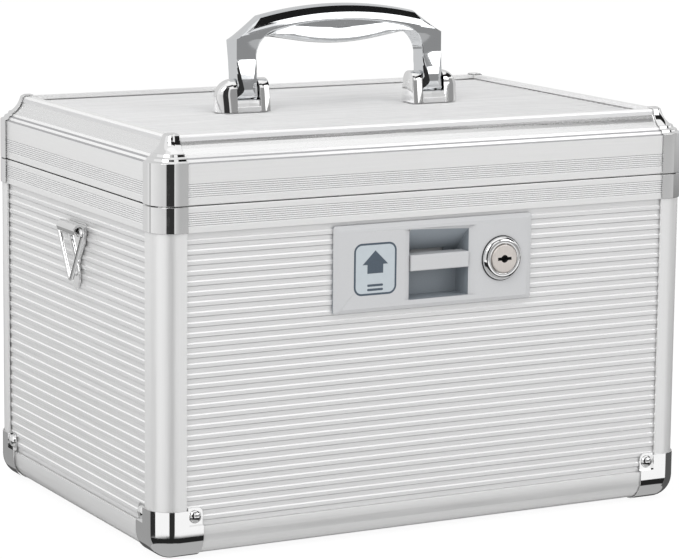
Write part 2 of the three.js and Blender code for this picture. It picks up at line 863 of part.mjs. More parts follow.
function lockCover() {
  const frontY = panelBackDepth + fitGap - halfDepth;
  const backY = lockCoverBackY;
  const shell = block(lockCoverLeft, lockCoverRight, frontY, backY, lockCoverBottom, lockCoverTop);
  const inside = block(
    lockCoverLeft + lockCoverWall, lockCoverRight - lockCoverWall, frontY - overrun, backY - lockCoverWall,
    lockCoverBottom + lockCoverWall, lockCoverTop - lockCoverWall,
  );
  const rimCut = block(
    lockCoverLeft - overrun, lockCoverRight + overrun, frontY - overrun, profileInner + fitGap - halfDepth,
    baseRimBottom - fitGap, lockCoverTop + overrun,
  );
  const strikerCut = block(
    lockCoverLeft + lockCoverWall, lockCoverRight - lockCoverWall, frontY - overrun, guideFrontY,
    lockCoverTop - lockCoverWall - overrun, lockCoverTop + overrun,
  );
  const rib = block(
    springX - ledgeHalf, springX + ledgeHalf, webBackY + barInset, backY - lockCoverWall / 2,
    springHead + fitGap, springHead + fitGap + ledgeThickness,
  );
  return shell.subtract(inside).subtract(rimCut).subtract(strikerCut).add(rib);
}

// Turned piece on the lock's axis: the profile is (radius, distance back from the plug's face)
function turnedLock(profile) {
  const outline = profile.map(([r, back]) => new THREE.Vector2(r, back));
  const geometry = new THREE.LatheGeometry(outline, turnedSides);
  return solidOf(geometry.translate(lockX, plugFrontY, lockZ));
}

const barrelBore = plugRadius + fitGap;
const faceBore = plugFaceRadius + fitGap;
const ringEdge = 0.5;

function lockBarrel() {
  const front = ringFrontY - plugFrontY;
  const seat = plateFaceY - fitGap - plugFrontY;
  const back = barrelBackY - plugFrontY;
  const counterbore = plugFaceDepth + plugProud;
  const rise = seat - front;
  const dome = arcPoints(ringRadius - rise, seat, rise, -80, 0, edgeSteps);
  return turnedLock([
    [faceBore, front + ringEdge],
    [faceBore + ringEdge, front],
    ...dome,
    [barrelRadius, seat],
    [barrelRadius, back],
    [barrelBore, back],
    [barrelBore, counterbore],
    [faceBore, counterbore],
    [faceBore, front + ringEdge],
  ]);
}

function lockPlug() {
  const washerFront = washerFrontY - plugFrontY;
  const plug = turnedLock([
    [0, 0],
    [plugFaceRadius - ringEdge, 0],
    [plugFaceRadius, ringEdge],
    [plugFaceRadius, plugFaceDepth],
    [plugRadius, plugFaceDepth],
    [plugRadius, washerFront],
    [washerRadius, washerFront],
    [washerRadius, washerFront + washerThickness],
    [0, washerFront + washerThickness],
  ]);
  const keyway = block(
    lockX - keywayLength / 2, lockX + keywayLength / 2, plugFrontY - overrun, plugFrontY + keywayDepth,
    lockZ - keywayWidth / 2, lockZ + keywayWidth / 2,
  );
  return plug.subtract(keyway);
}

function lockCam() {
  const hub = rod('y', lockX, lockZ, camHub, camFrontY, camBackY, turnedSides);
  const arm = prism('y', [
    [lockX - camHub, lockZ],
    [lockX - camTip, lockZ - camLength],
    [lockX + camTip, lockZ - camLength],
    [lockX + camHub, lockZ],
  ], camFrontY, camBackY);
  const bore = rod('y', lockX, lockZ, barrelBore, camFrontY - overrun, camBackY + overrun, turnedSides);
  return hub.add(arm).subtract(bore);
}

// Hexagon nut that clamps the barrel to the panel, one flat towards the pocket
const nutFlats = 24;
const nutThickness = 4;
const nutSides = 6;

function lockNut() {
  const frontY = panelBackDepth + fitGap - halfDepth;
  const corner = nutFlats / 2 / Math.cos(Math.PI / nutSides);
  const half = 180 / nutSides;
  const hexagon = arcPoints(lockX, lockZ, corner, half, half + 360, nutSides).slice(0, nutSides);
  const backY = frontY + nutThickness;
  const bore = rod('y', lockX, lockZ, barrelRadius + fitGap, frontY - overrun, backY + overrun, turnedSides);
  return prism('y', hexagon, frontY, backY).subtract(bore);
}

function strikerSolid() {
  const flangeFrontY = rimWall + fitGap - halfDepth;
  const flangeBackY = flangeFrontY + strikerThickness;
  const shelfTop = strikerShelf + strikerThickness;
  const bend = prism('x', [
    [strikerFrontY, strikerBottom],
    [strikerBackY, strikerBottom],
    [strikerBackY, shelfTop],
    [flangeBackY, shelfTop],
    [flangeBackY, strikerTop],
    [flangeFrontY, strikerTop],
    [flangeFrontY, strikerShelf],
    [strikerFrontY, strikerShelf],
  ], latchX - strikerHalf, latchX + strikerHalf);
  const margin = 2 * fitGap;
  const eye = block(
    latchX - boltHalf - margin, latchX + boltHalf + margin, strikerFrontY - overrun, strikerBackY + overrun,
    boltBottom - margin, boltTop + margin,
  );
  return bend.subtract(eye);
}

// Leaf hinges on the back of the rims
const hingeCentreShare = 0.2875;
const hingeLength = 50;
const hingeKnuckles = 5;
const leafThickness = 1.2;
const leafRimMargin = 0.9;
const hingePinRadius = 1;
const hingeBoreGap = 0.2;
const knuckleRadius = (fittingsProud - fitGap) / 2;
const hingeY = halfDepth + fitGap + knuckleRadius;
const hingeCentreX = caseWidth * hingeCentreShare;
const leafHeight = baseRimHeight - leafRimMargin;
const hingeSides = 16;

function hingeLeaf(way, firstKnuckle) {
  const leafFront = halfDepth + fitGap;
  const leafBack = leafFront + leafThickness;
  const clear = knuckleRadius + fitGap;
  const span = (from, to) => {
    const ends = [splitHeight + way * from, splitHeight + way * to];
    return way > 0 ? ends : ends.reverse();
  };
  const left = hingeCentreX - hingeLength / 2;
  let leaf = block(left, left + hingeLength, leafFront, leafBack, ...span(clear, leafHeight));
  const pitch = hingeLength / hingeKnuckles;
  for (let i = firstKnuckle; i < hingeKnuckles; i += 2) {
    const from = left + i * pitch + (i > 0 ? fitGap / 2 : 0);
    const to = left + (i + 1) * pitch - (i < hingeKnuckles - 1 ? fitGap / 2 : 0);
    leaf = leaf.add(block(from, to, leafFront, leafBack, ...span(0, clear + leafThickness)));
    leaf = leaf.add(rod('x', hingeY, splitHeight, knuckleRadius, from, to, hingeSides));
  }
  const bore = hingePinRadius + hingeBoreGap;
  const right = left + hingeLength;
  return leaf.subtract(rod('x', hingeY, splitHeight, bore, left - overrun, right + overrun, hingeSides));
}

function hingePin() {
  const half = hingeLength / 2 - fitGap;
  return rod('x', hingeY, splitHeight, hingePinRadius, hingeCentreX - half, hingeCentreX + half, hingeSides);
}

// Strap clips on the sides: a shield plate rolled over at the top round a wire ring
const clipY = -5;
const clipDrop = 7.6;
const clipHeight = 36.8;
const clipHalf = 12.3;
const clipThickness = 1;
const clipOutlineShares = [
  [1, 0], [0.97, 0.14], [0.86, 0.29], [0.55, 0.43], [0.34, 0.54], [0.27, 0.63],
  [0.35, 0.7], [0.38, 0.77], [0.34, 0.86], [0.2, 0.96], [0, 1],
];
const rollRadius = 3.4;
const rollHalf = 11.6;
const rollOverlap = 0.2;
const wireRadius = 1.25;
const ringPlay = 0.65;
const ringHalf = 15.7;
const ringDrop = 29.2;
const ringBend = 2;
const ringTipBend = 1.6;
const ringTail = 5;
const ringSides = 8;
const ringSteps = 4;
const rollSides = 20;

const clipBackX = ridgeCrestDepth - fitGap - halfWidth;
const clipFrontX = clipBackX - clipThickness;
const clipTop = baseRimBottom - clipDrop;
const rollX = clipFrontX - rollRadius + rollOverlap;
const rollZ = clipTop - rollRadius;

function strapPlate() {
  const side = clipOutlineShares.map(([a, b]) => [clipHalf * a, clipTop - clipHeight * b]);
  const right = side.map(([a, z]) => [clipY + a, z]);
  const left = side.slice(0, -1).reverse().map(([a, z]) => [clipY - a, z]);
  const plate = prism('x', [...right, ...left], clipFrontX, clipBackX);
  const roll = rod('y', rollX, rollZ, rollRadius, clipY - rollHalf, clipY + rollHalf, rollSides);
  const boreHalf = rollHalf + overrun;
  const bore = rod('y', rollX, rollZ, wireRadius + ringPlay, clipY - boreHalf, clipY + boreHalf, rollSides);
  return plate.add(roll).subtract(bore);
}

// Half of the ring's wire, from its end inside the roll to the foot of the V
function ringHalfPath() {
  const armAngle = THREE.MathUtils.radToDeg(Math.atan2(ringDrop, ringHalf));
  const armTurn = 180 - armAngle;
  const points = [[ringHalf - ringBend - ringTail, 0]];
  points.push(...arcPoints(ringHalf - ringBend, -ringBend, ringBend, 90, 90 - armTurn, ringSteps));
  const tipRise = ringTipBend / Math.cos(THREE.MathUtils.degToRad(armAngle));
  points.push(...arcPoints(0, tipRise - ringDrop, ringTipBend, armAngle - 90, -90, ringSteps));
  return points;
}

function strapRing() {
  const half = ringHalfPath();
  const other = half.slice(0, -1).reverse().map(([a, b]) => [-a, b]);
  const points = [...half, ...other].map(([a, b]) => new THREE.Vector3(rollX, clipY + a, rollZ + b));
  return wire(points, wireRadius, ringSides);
}

// Handle brackets: saddles with two ears on the lid panel, made for the side at -X
const handleX = 58.2;
const legWidth = 12;
const legPlay = 0.8;
const innerEar = 6.3;
const outerEar = 10.5;
const outerEarWall = 8;
const earHalfDepth = 7.7;
const earRadius = 6;
const earSteps = 8;
const saddleThickness = 3;
const pinHeight = 11.9;
const handlePinRadius = 2;
const pinRecess = 1.1;
const pinBlindEnd = 2.8;
const earPower = 2.4;
const earPlanSteps = 12;
const domeSteps = 6;
const saddleZ = lidPanelCrest + fitGap;
const pinZ = saddleZ + pinHeight;
const innerEarFace = handleX - legWidth / 2 - legPlay;
const outerEarFace = handleX + legWidth / 2 + legPlay;
const pinEnd = pinBlindEnd - outerEarFace - outerEar;

function earOutline() {
  const crown = arcPoints(0, pinZ, earRadius, 0, 180, earSteps);
  return [[earHalfDepth, saddleZ], ...crown, [-earHalfDepth, saddleZ]];
}

// Half the ear's depth at a height over the saddle: drawn in towards its round top
function earHalfAt(height) {
  if (height <= pinHeight) return THREE.MathUtils.lerp(earHalfDepth, earRadius, height / pinHeight);
  return Math.sqrt(Math.max(earRadius ** 2 - (height - pinHeight) ** 2, leastRadius ** 2));
}

// Outer ear: straight wall below, dome above, and round in plan
function outerEarSolid() {
  const crown = pinHeight + earRadius - outerEarWall;
  const levels = [];
  const addLevel = (height, share) => {
    const half = earHalfAt(height);
    const reach = Math.max(outerEar * share, leastRadius);
    const ring = arcPoints(0, 0, 1, -90, 90, earPlanSteps).map(([a, b]) => [
      -outerEarFace - reach * Math.abs(a) ** (2 / earPower),
      -half * Math.sign(b) * Math.abs(b) ** (2 / earPower),
    ]);
    levels.push({ z: saddleZ + height, ring });
  };
  addLevel(0, 1);
  for (const [share, rise] of arcPoints(0, 0, 1, 0, 90, domeSteps)) {
    addLevel(outerEarWall + crown * rise, share);
  }
  return solidOf(stackedRings(levels));
}

function handleBracket() {
  const saddle = block(
    -outerEarFace - fitGap, -innerEarFace, -earHalfDepth, earHalfDepth, saddleZ, saddleZ + saddleThickness,
  );
  const inner = prism('x', earOutline(), -innerEarFace, -innerEarFace + innerEar);
  const outer = outerEarSolid();
  const boreEnd = pinEnd - fitGap;
  const boreOpen = overrun - innerEarFace + innerEar;
  const bore = rod('x', 0, pinZ, handlePinRadius + fitGap, boreEnd, boreOpen, hingeSides);
  return saddle.add(inner).add(outer).subtract(bore);
}

function handlePin() {
  return rod('x', 0, pinZ, handlePinRadius, pinEnd, innerEar - innerEarFace - pinRecess, hingeSides);
}

// Handle: an arched frame on two legs with a palm swell under the arch. It is
// drawn upright about its pins, and stands leaning back by a few degrees.
const handleLean = 6;
const handleHalfDepth = 6.5;
const edgeHalfDepth = 4.9;
const crownHalfDepth = 1.8;
const shoulderZ = 27.2;
const frontCornerX = 52.3;
const frontCornerZ = 34.3;
const frontTopZ = 41;
const edgeCornerX = 48.5;
const edgeCornerZ = 38.3;
const edgeTopZ = 43.8;
const crownRise = 1.5;
const archCornerRadius = 15;
const archSpringZ = 16.5;
const archTopZ = 35.7;
const archTilt = 11.5;
const handleSteps = 10;
const archSteps = 5;
const swellReach = 47;
const swellDrop = 12.4;
const swellHalfDepth = 6.1;
const swellStations = 12;
const swellSides = 12;
const swellBury = 2;
const legInner = handleX - legWidth / 2;
const shoulderX = handleX + legWidth / 2;

// Crown of an arc through (0, top) and (x, z), as height over x
function arcHeight(reach, edgeZ, topZ, x) {
  const sagitta = topZ - edgeZ;
  const radius = (reach * reach + sagitta * sagitta) / (2 * sagitta);
  return topZ - radius + Math.sqrt(radius * radius - x * x);
}

const archCornerX = legInner - archCornerRadius;
const archTilting = THREE.MathUtils.degToRad(archTilt);
const archEndX = archCornerX + archCornerRadius * Math.sin(archTilting);
const archEndZ = archSpringZ + archCornerRadius * Math.cos(archTilting);

function handleOutline(cornerX, cornerZ, topZ) {
  const right = [[shoulderX, 0], [shoulderX, shoulderZ]];
  for (let i = 0; i < handleSteps; i += 1) {
    const x = cornerX * (1 - i / handleSteps);
    right.push([x, arcHeight(cornerX, cornerZ, topZ, x)]);
  }
  const outer = [...right, [0, topZ], ...right.toReversed().map(([x, z]) => [-x, z])];
  const inner = [[-legInner, 0]];
  inner.push(...arcPoints(-archCornerX, archSpringZ, archCornerRadius, 180, 90 + archTilt, archSteps));
  for (let i = 1; i < handleSteps; i += 1) {
    const x = archEndX * (2 * (i / handleSteps) - 1);
    inner.push([x, arcHeight(archEndX, archEndZ, archTopZ, x)]);
  }
  inner.push(...arcPoints(archCornerX, archSpringZ, archCornerRadius, 90 - archTilt, 0, archSteps));
  inner.push([legInner, 0]);
  return [...outer, ...inner];
}

// Loft of the frame through its outlines at several depths
function handleFrame() {
  const front = handleOutline(frontCornerX, frontCornerZ, frontTopZ);
  const edge = handleOutline(edgeCornerX, edgeCornerZ, edgeTopZ);
  const crown = handleOutline(edgeCornerX, edgeCornerZ + crownRise, edgeTopZ + crownRise);
  const levels = [
    [-handleHalfDepth, front], [-edgeHalfDepth, edge], [-crownHalfDepth, crown],
    [crownHalfDepth, crown], [edgeHalfDepth, edge], [handleHalfDepth, front],
  ];
  const count = front.length;
  const positions = [];
  const index = [];
  for (const [y, ring] of levels) {
    for (const [x, z] of ring) positions.push(x, y, z);
  }
  for (let level = 0; level < levels.length - 1; level += 1) {
    for (let i = 0; i < count; i += 1) {
      const a = level * count + i;
      const b = level * count + ((i + 1) % count);
      index.push(a, b + count, b, a, a + count, b + count);
    }
  }
  const faces = THREE.ShapeUtils.triangulateShape(front.map(([x, z]) => new THREE.Vector2(x, z)), []);
  const last = (levels.length - 1) * count;
  for (const [a, b, c] of faces) {
    index.push(a, b, c);
    index.push(last + a, last + c, last + b);
  }
  const geometry = new THREE.BufferGeometry();
  geometry.setAttribute('position', new THREE.Float32BufferAttribute(positions, 3));
  geometry.setIndex(index);
  return solidOf(geometry);
}

function palmSwell() {
  const levels = [];
  for (let i = 0; i <= swellStations; i += 1) {
    const x = swellReach * ((2 * i) / swellStations - 1);
    const reachX = Math.min(Math.abs(x), archEndX);
    const archZ = arcHeight(archEndX, archEndZ, archTopZ, reachX) - (Math.abs(x) - reachX) / 2;
    const drop = swellDrop * Math.cos((x / swellReach) * (Math.PI / 2));
    const centre = archZ + (swellBury - drop) / 2;
    const halfHeight = (drop + swellBury) / 2;
    const circle = circlePoints(0, 0, 1, swellSides);
    levels.push({ z: x, ring: circle.map(([a, b]) => [centre + halfHeight * a, swellHalfDepth * b]) });
  }
  const geometry = stackedRings(levels);
  geometry.applyMatrix4(new THREE.Matrix4().makeBasis(unitZ, unitY.clone().negate(), unitX));
  return solidOf(geometry);
}

function handleSolid() {
  let handle = handleFrame().add(palmSwell());
  for (const way of [-1, 1]) {
    const from = Math.min(way * legInner, way * shoulderX);
    const to = Math.max(way * legInner, way * shoulderX);
    handle = handle.add(rod('x', 0, 0, handleHalfDepth, from, to, 2 * hingeSides));
  }
  const reach = shoulderX + overrun;
  return handle.subtract(rod('x', 0, 0, handlePinRadius + fitGap, -reach, reach, hingeSides));
}

// Lift-out tray: hangs by its end flanges on the side rims
const trayPlay = 1;
const trayHeight = 44;
const trayWall = 1.6;
const trayFlange = 1.5;
const trayFrontGap = 2.5;
const trayCellRadius = 0.8;
const trayFlangeInset = 4.5;
const trayFrontCells = 4;
const trayRearShare = 0.42;
const trayRest = baseRimTop + fitGap;
const trayTop = trayRest + trayFlange;
const trayHalf = halfWidth - profileInner - trayPlay;
const trayFrontY = lockCoverBackY + trayFrontGap;
const trayBackY = halfDepth - profileInner - trayPlay;

function trayCells() {
  const split = trayBackY - (trayBackY - trayFrontY) * trayRearShare;
  const cells = [[-trayHalf + trayWall, trayHalf - trayWall, split + trayWall, trayBackY - trayWall]];
  const pitch = (2 * trayHalf - trayWall) / trayFrontCells;
  for (let i = 0; i < trayFrontCells; i += 1) {
    const from = -trayHalf + trayWall + i * pitch;
    cells.push([from, from + pitch - trayWall, trayFrontY + trayWall, split]);
  }
  return cells;
}

function traySolid() {
  const low = trayTop - trayHeight;
  let tray = block(-trayHalf, trayHalf, trayFrontY, trayBackY, low, trayTop);
  const flangeReach = halfWidth - trayFlangeInset;
  tray = tray.add(block(-flangeReach, flangeReach, trayFrontY, trayBackY, trayRest, trayTop));
  for (const [fromX, toX, fromY, toY] of trayCells()) {
    const outline = roundedRectangle(fromX, toX, fromY, toY, trayCellRadius, 3);
    tray = tray.subtract(prism('z', outline, low + trayWall, trayTop + overrun));
  }
  return tray;
}

// Finishes
const finishes = {
  aluminium: { color: 0xd6d7d8, roughness: 0.32, metalness: 0.9 },
  ridgedSheet: { color: 0xd9dadb, roughness: 0.36, metalness: 0.85 },
  chrome: { color: 0xe4e6e8, roughness: 0.06, metalness: 1 },
  lockPlastic: { color: 0xc3c8cb, roughness: 0.45, metalness: 0 },
  nickel: { color: 0xc9c4bd, roughness: 0.25, metalness: 1 },
  steel: { color: 0xa8abae, roughness: 0.35, metalness: 1 },
  boardSkin: { color: 0x3b3d40, roughness: 0.8, metalness: 0 },
  trayPlastic: { color: 0xe6e8e9, roughness: 0.5, metalness: 0 },
};

const model = new THREE.Group();

function addPiece(name, geometry, finish, parent = model) {
  const mesh = new THREE.Mesh(geometry, new THREE.MeshStandardMaterial(finishes[finish]));
  mesh.name = name;
  parent.add(mesh);
}

// One piece at each of the four corners, mirrored from the front left one
function addCorners(name, solid, finish) {
  const geometry = geometryOf(solid);
  addPiece(`${name}_front_left`, geometry, finish);
  addPiece(`${name}_front_right`, mirrored(geometry, -1, 1), finish);
  addPiece(`${name}_rear_left`, mirrored(geometry, 1, -1), finish);
  addPiece(`${name}_rear_right`, mirrored(geometry, -1, -1), finish);
}

// One piece on each of the four sides, from the front one and the left one
function addSides(name, front, left, finish, cutFront = front) {
  const leftGeometry = geometryOf(left);
  addPiece(`${name}_front`, geometryOf(cutFront), finish);
  addPiece(`${name}_rear`, mirrored(geometryOf(front), 1, -1), finish);
  addPiece(`${name}_left`, leftGeometry, finish);
  addPiece(`${name}_right`, mirrored(leftGeometry, -1, 1), finish);
}

// The four mitred bars of one frame
function addFrame(name, section, width, envelope) {
  const reach = width + overrun;
  const front = frameBar('front', section, reach, envelope);
  const left = frameBar('left', section, reach, envelope);
  addSides(name, front, left, 'aluminium');
}

function addPair(name, solid, finish) {
  const geometry = geometryOf(solid);
  addPiece(`${name}_left`, geometry, finish);
  addPiece(`${name}_right`, mirrored(geometry, -1, 1), finish);
}

// Hinges are drawn on the right, so their pair is mirrored to the left
function addHingePair(name, solid, finish) {
  const geometry = geometryOf(solid);
  addPiece(`${name}_right`, geometry, finish);
  addPiece(`${name}_left`, mirrored(geometry, -1, 1), finish);
}

const baseTrim = baseEnvelope(trimAllowance, splitHeight + tongueHeight + overrun);
const lidTrim = lidEnvelope(trimAllowance);

const frontPanel = wallPanel('front');
addSides('panel', frontPanel, wallPanel('left'), 'ridgedSheet', frontPanel.subtract(lockOpenings()));
addPiece('panel_floor', geometryOf(floorPanel()), 'boardSkin');
addCorners('post', postSolid(), 'aluminium');
addFrame('bottom_rail', railSection(), profileFace, baseTrim);
addFrame('base_rim', baseRimSection(), profileInner, baseTrim);
addCorners('rim_corner', rimCorner(), 'chrome');
addCorners('foot_cap', footCap(), 'chrome');
addPiece('lock_housing', geometryOf(lockHousing()), 'lockPlastic');
addPiece('lock_cover', geometryOf(lockCover()), 'boardSkin');
addPiece('lock_barrel', geometryOf(lockBarrel()), 'chrome');
addPiece('lock_nut', geometryOf(lockNut()), 'steel');
addPiece('latch_spring', geometryOf(latchSpring()), 'steel');
addPiece('latch_slider', geometryOf(latchSlider()), 'lockPlastic');
addPiece('latch_bolt', geometryOf(latchBolt()), 'steel');
addPiece('lock_plug', geometryOf(lockPlug()), 'nickel');
addPiece('lock_cam', geometryOf(lockCam()), 'steel');
addPair('strap_plate', strapPlate(), 'chrome');
addPair('strap_ring', strapRing(), 'chrome');
addHingePair('hinge_base_leaf', hingeLeaf(-1, 0), 'steel');
addHingePair('hinge_lid_leaf', hingeLeaf(1, 1), 'steel');
addHingePair('hinge_pin', hingePin(), 'steel');
addPiece('panel_lid', geometryOf(lidPanel()), 'ridgedSheet');
addFrame('lid_rim', lidRimSection(), lidLipEnd, lidTrim);
addCorners('lid_corner', lidCorner(), 'chrome');
addPiece('striker', geometryOf(strikerSolid()), 'steel');
addPair('handle_bracket', handleBracket(), 'chrome');
addPair('handle_pin', handlePin(), 'chrome');

const handleGroup = new THREE.Group();
handleGroup.position.z = pinZ;
handleGroup.rotation.x = THREE.MathUtils.degToRad(-handleLean);
model.add(handleGroup);
addPiece('handle', geometryOf(handleSolid()), 'chrome', handleGroup);
addPiece('tray', geometryOf(traySolid()), 'trayPlastic');

export default model;
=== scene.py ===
"""Looks of the locking medicine case: fine chrome, rivets, the lock's label, studio and camera."""

import json
import math

import bmesh
import bpy
from mathutils import Matrix, Vector


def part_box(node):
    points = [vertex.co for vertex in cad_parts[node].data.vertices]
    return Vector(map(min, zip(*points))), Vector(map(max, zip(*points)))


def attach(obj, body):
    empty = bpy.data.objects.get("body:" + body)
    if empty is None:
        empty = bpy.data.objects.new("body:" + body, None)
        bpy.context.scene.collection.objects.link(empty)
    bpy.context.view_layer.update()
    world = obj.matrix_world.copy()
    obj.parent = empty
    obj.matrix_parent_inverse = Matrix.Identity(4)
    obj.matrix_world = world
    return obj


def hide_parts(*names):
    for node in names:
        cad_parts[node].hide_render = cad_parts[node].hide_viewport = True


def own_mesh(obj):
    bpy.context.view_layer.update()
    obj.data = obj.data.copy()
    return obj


MM = 0.001

# The case's main sizes in mm, as in the part's source
CASE_HALF_WIDTH = 160.0
CASE_HALF_DEPTH = 110.0
CASE_HEIGHT = 218.7
SPLIT_HEIGHT = 184.0
SPLIT_GAP = 0.6
LID_BOTTOM = SPLIT_HEIGHT + SPLIT_GAP / 2
BASE_RIM_TOP = SPLIT_HEIGHT - SPLIT_GAP / 2
BASE_RIM_BOTTOM = 170.3
CORNER_RADIUS = 12.0
COVER_LIFT = 0.3
COVER_THICKNESS = 0.6
COVER_PROUD = COVER_LIFT + COVER_THICKNESS
COVER_LEG = 16.5
PROFILE_FACE = 16.4
RAIL_TOP = COVER_PROUD + PROFILE_FACE

# Chamfered edges, the welding of facets, and the reach at which a closed tip ends
EDGE_ANGLE = math.radians(32)
EDGE_WIDTH = 0.22
EDGE_SEGMENTS = 2
WELD_DISTANCE = 0.002
MERGE_DISTANCE = 0.0001
TIP = 0.01

# Camera, fitted to the photograph
CAMERA_PLACE = (-0.75790, -1.41296, 0.40272)
CAMERA_TURN = (80.8289, -0.4736, -27.5006)
CAMERA_LENS = 153.554
CAMERA_SHIFT = (0.05200, -0.06649)
CAMERA_RANGE = (0.05, 60)
SENSOR_WIDTH = 36.0

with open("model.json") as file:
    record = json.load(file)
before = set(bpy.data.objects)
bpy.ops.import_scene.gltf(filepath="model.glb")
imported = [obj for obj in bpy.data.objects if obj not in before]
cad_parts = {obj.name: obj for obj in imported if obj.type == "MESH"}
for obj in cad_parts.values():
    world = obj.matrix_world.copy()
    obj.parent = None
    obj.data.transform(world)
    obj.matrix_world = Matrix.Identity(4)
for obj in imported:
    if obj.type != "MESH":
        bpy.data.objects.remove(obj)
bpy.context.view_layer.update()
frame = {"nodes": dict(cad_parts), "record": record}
nodes = frame["nodes"]


# Materials

NOISE_RANGE = (0.32, 0.68)
NOISE_DETAIL = 3.0
GRAIN_WIDTH = 0.9
GRAIN_LENGTH = 45.0
GRAIN_ROUGHNESS = 0.04
GRAIN_RELIEF = 0.003


class Wiring:
    """Short ways to add nodes to a tree, where an input takes a value or a link."""

    def __init__(self, tree):
        self.tree = tree

    def plug(self, socket, value):
        if isinstance(value, bpy.types.NodeSocket):
            self.tree.links.new(value, socket)
        else:
            socket.default_value = value

    def add(self, kind, **inputs):
        """A node with its inputs by name, such as From_Min for From Min."""
        node = self.tree.nodes.new(f"ShaderNode{kind}")
        for name, value in inputs.items():
            self.plug(node.inputs[name.replace("_", " ")], value)
        return node

    def maths(self, operation, a, b=0.0):
        node = self.add("Math")
        node.operation = operation
        self.plug(node.inputs[0], a)
        self.plug(node.inputs[1], b)
        return node.outputs[0]

    def step(self, value, at, softness):
        node = self.add("MapRange", Value=value, From_Min=at - softness / 2, From_Max=at + softness / 2)
        node.interpolation_type = "SMOOTHSTEP"
        return node.outputs["Result"]

    def within(self, value, low, high, softness):
        return self.maths("SUBTRACT", self.step(value, low, softness), self.step(value, high, softness))

    def mix(self, share, a, b):
        rest = self.maths("SUBTRACT", 1.0, share)
        return self.maths("ADD", self.maths("MULTIPLY", rest, a), self.maths("MULTIPLY", share, b))


def new_material(name, colour, roughness, metallic):
    """A material with its wiring and its shader's inputs."""
    material = bpy.data.materials.new(name)
    material.use_nodes = True
    wiring = Wiring(material.node_tree)
    shader = material.node_tree.nodes["Principled BSDF"].inputs
    wiring.plug(shader["Base Color"], (*colour, 1.0))
    wiring.plug(shader["Roughness"], roughness)
    wiring.plug(shader["Metallic"], metallic)
    return material, wiring, shader


def finish(name, colour, roughness, metallic, grain, colour_swing, roughness_swing, relief=0.0):
    """A finish with fine unevenness, whose size in mm along x, y and z is its grain."""
    material, wiring, shader = new_material(name, colour, roughness, metallic)
    place = wiring.add("TexCoord").outputs["Object"]
    scaled = wiring.add("Mapping", Vector=place, Scale=[1 / (size * MM) for size in grain])
    texture = wiring.add("TexNoise", Vector=scaled.outputs[0], Scale=1.0, Detail=NOISE_DETAIL)
    noise = texture.outputs["Fac"]
    ramp = wiring.add("ValToRGB", Fac=noise)
    for element, position, way in zip(ramp.color_ramp.elements, NOISE_RANGE, (-1, 1)):
        element.position = position
        element.color = (*[channel * (1 + way * colour_swing) for channel in colour], 1.0)
    spread = wiring.add("MapRange", Value=noise, From_Min=NOISE_RANGE[0], From_Max=NOISE_RANGE[1])
    wiring.plug(spread.inputs["To Min"], roughness - roughness_swing)
    wiring.plug(spread.inputs["To Max"], roughness + roughness_swing)
    wiring.plug(shader["Base Color"], ramp.outputs["Color"])
    wiring.plug(shader["Roughness"], spread.outputs["Result"])
    if relief:
        bump = wiring.add("Bump", Height=noise, Distance=relief * MM)
        wiring.plug(shader["Normal"], bump.outputs["Normal"])
    return material


def drawn(name, colour, roughness, metallic, colour_swing):
    """An aluminium finish for each direction in which a piece was drawn or rolled."""
    finishes = []
    for axis, letter in enumerate("XYZ"):
        grain = [GRAIN_WIDTH] * 3
        grain[axis] = GRAIN_LENGTH
        unevenness = (colour_swing, GRAIN_ROUGHNESS, GRAIN_RELIEF)
        finishes.append(finish(f"{name} {letter}", colour, roughness, metallic, grain, *unevenness))
    return finishes


aluminium = drawn("Satin aluminium", (0.94, 0.94, 0.938), 0.33, 0.58, 0.012)
coved = drawn("Coved aluminium", (0.9, 0.9, 0.9), 0.25, 0.85, 0.01)
ridged = drawn("Ridged aluminium sheet", (0.82, 0.82, 0.822), 0.36, 0.45, 0.045)
# Painted light: the white copy is painted highlight and the two grey copies are painted shade, for ridge,
# bead, cove and lip faces
painted_highlight = drawn("Painted ridge highlight", (0.98, 0.98, 0.98), 0.25, 0.35, 0.005)
painted_groove_shade = drawn("Shaded groove", (0.4, 0.4, 0.41), 0.5, 0.3, 0.05)
painted_faint_shade = drawn("Painted faint shade", (0.68, 0.68, 0.685), 0.5, 0.3, 0.03)

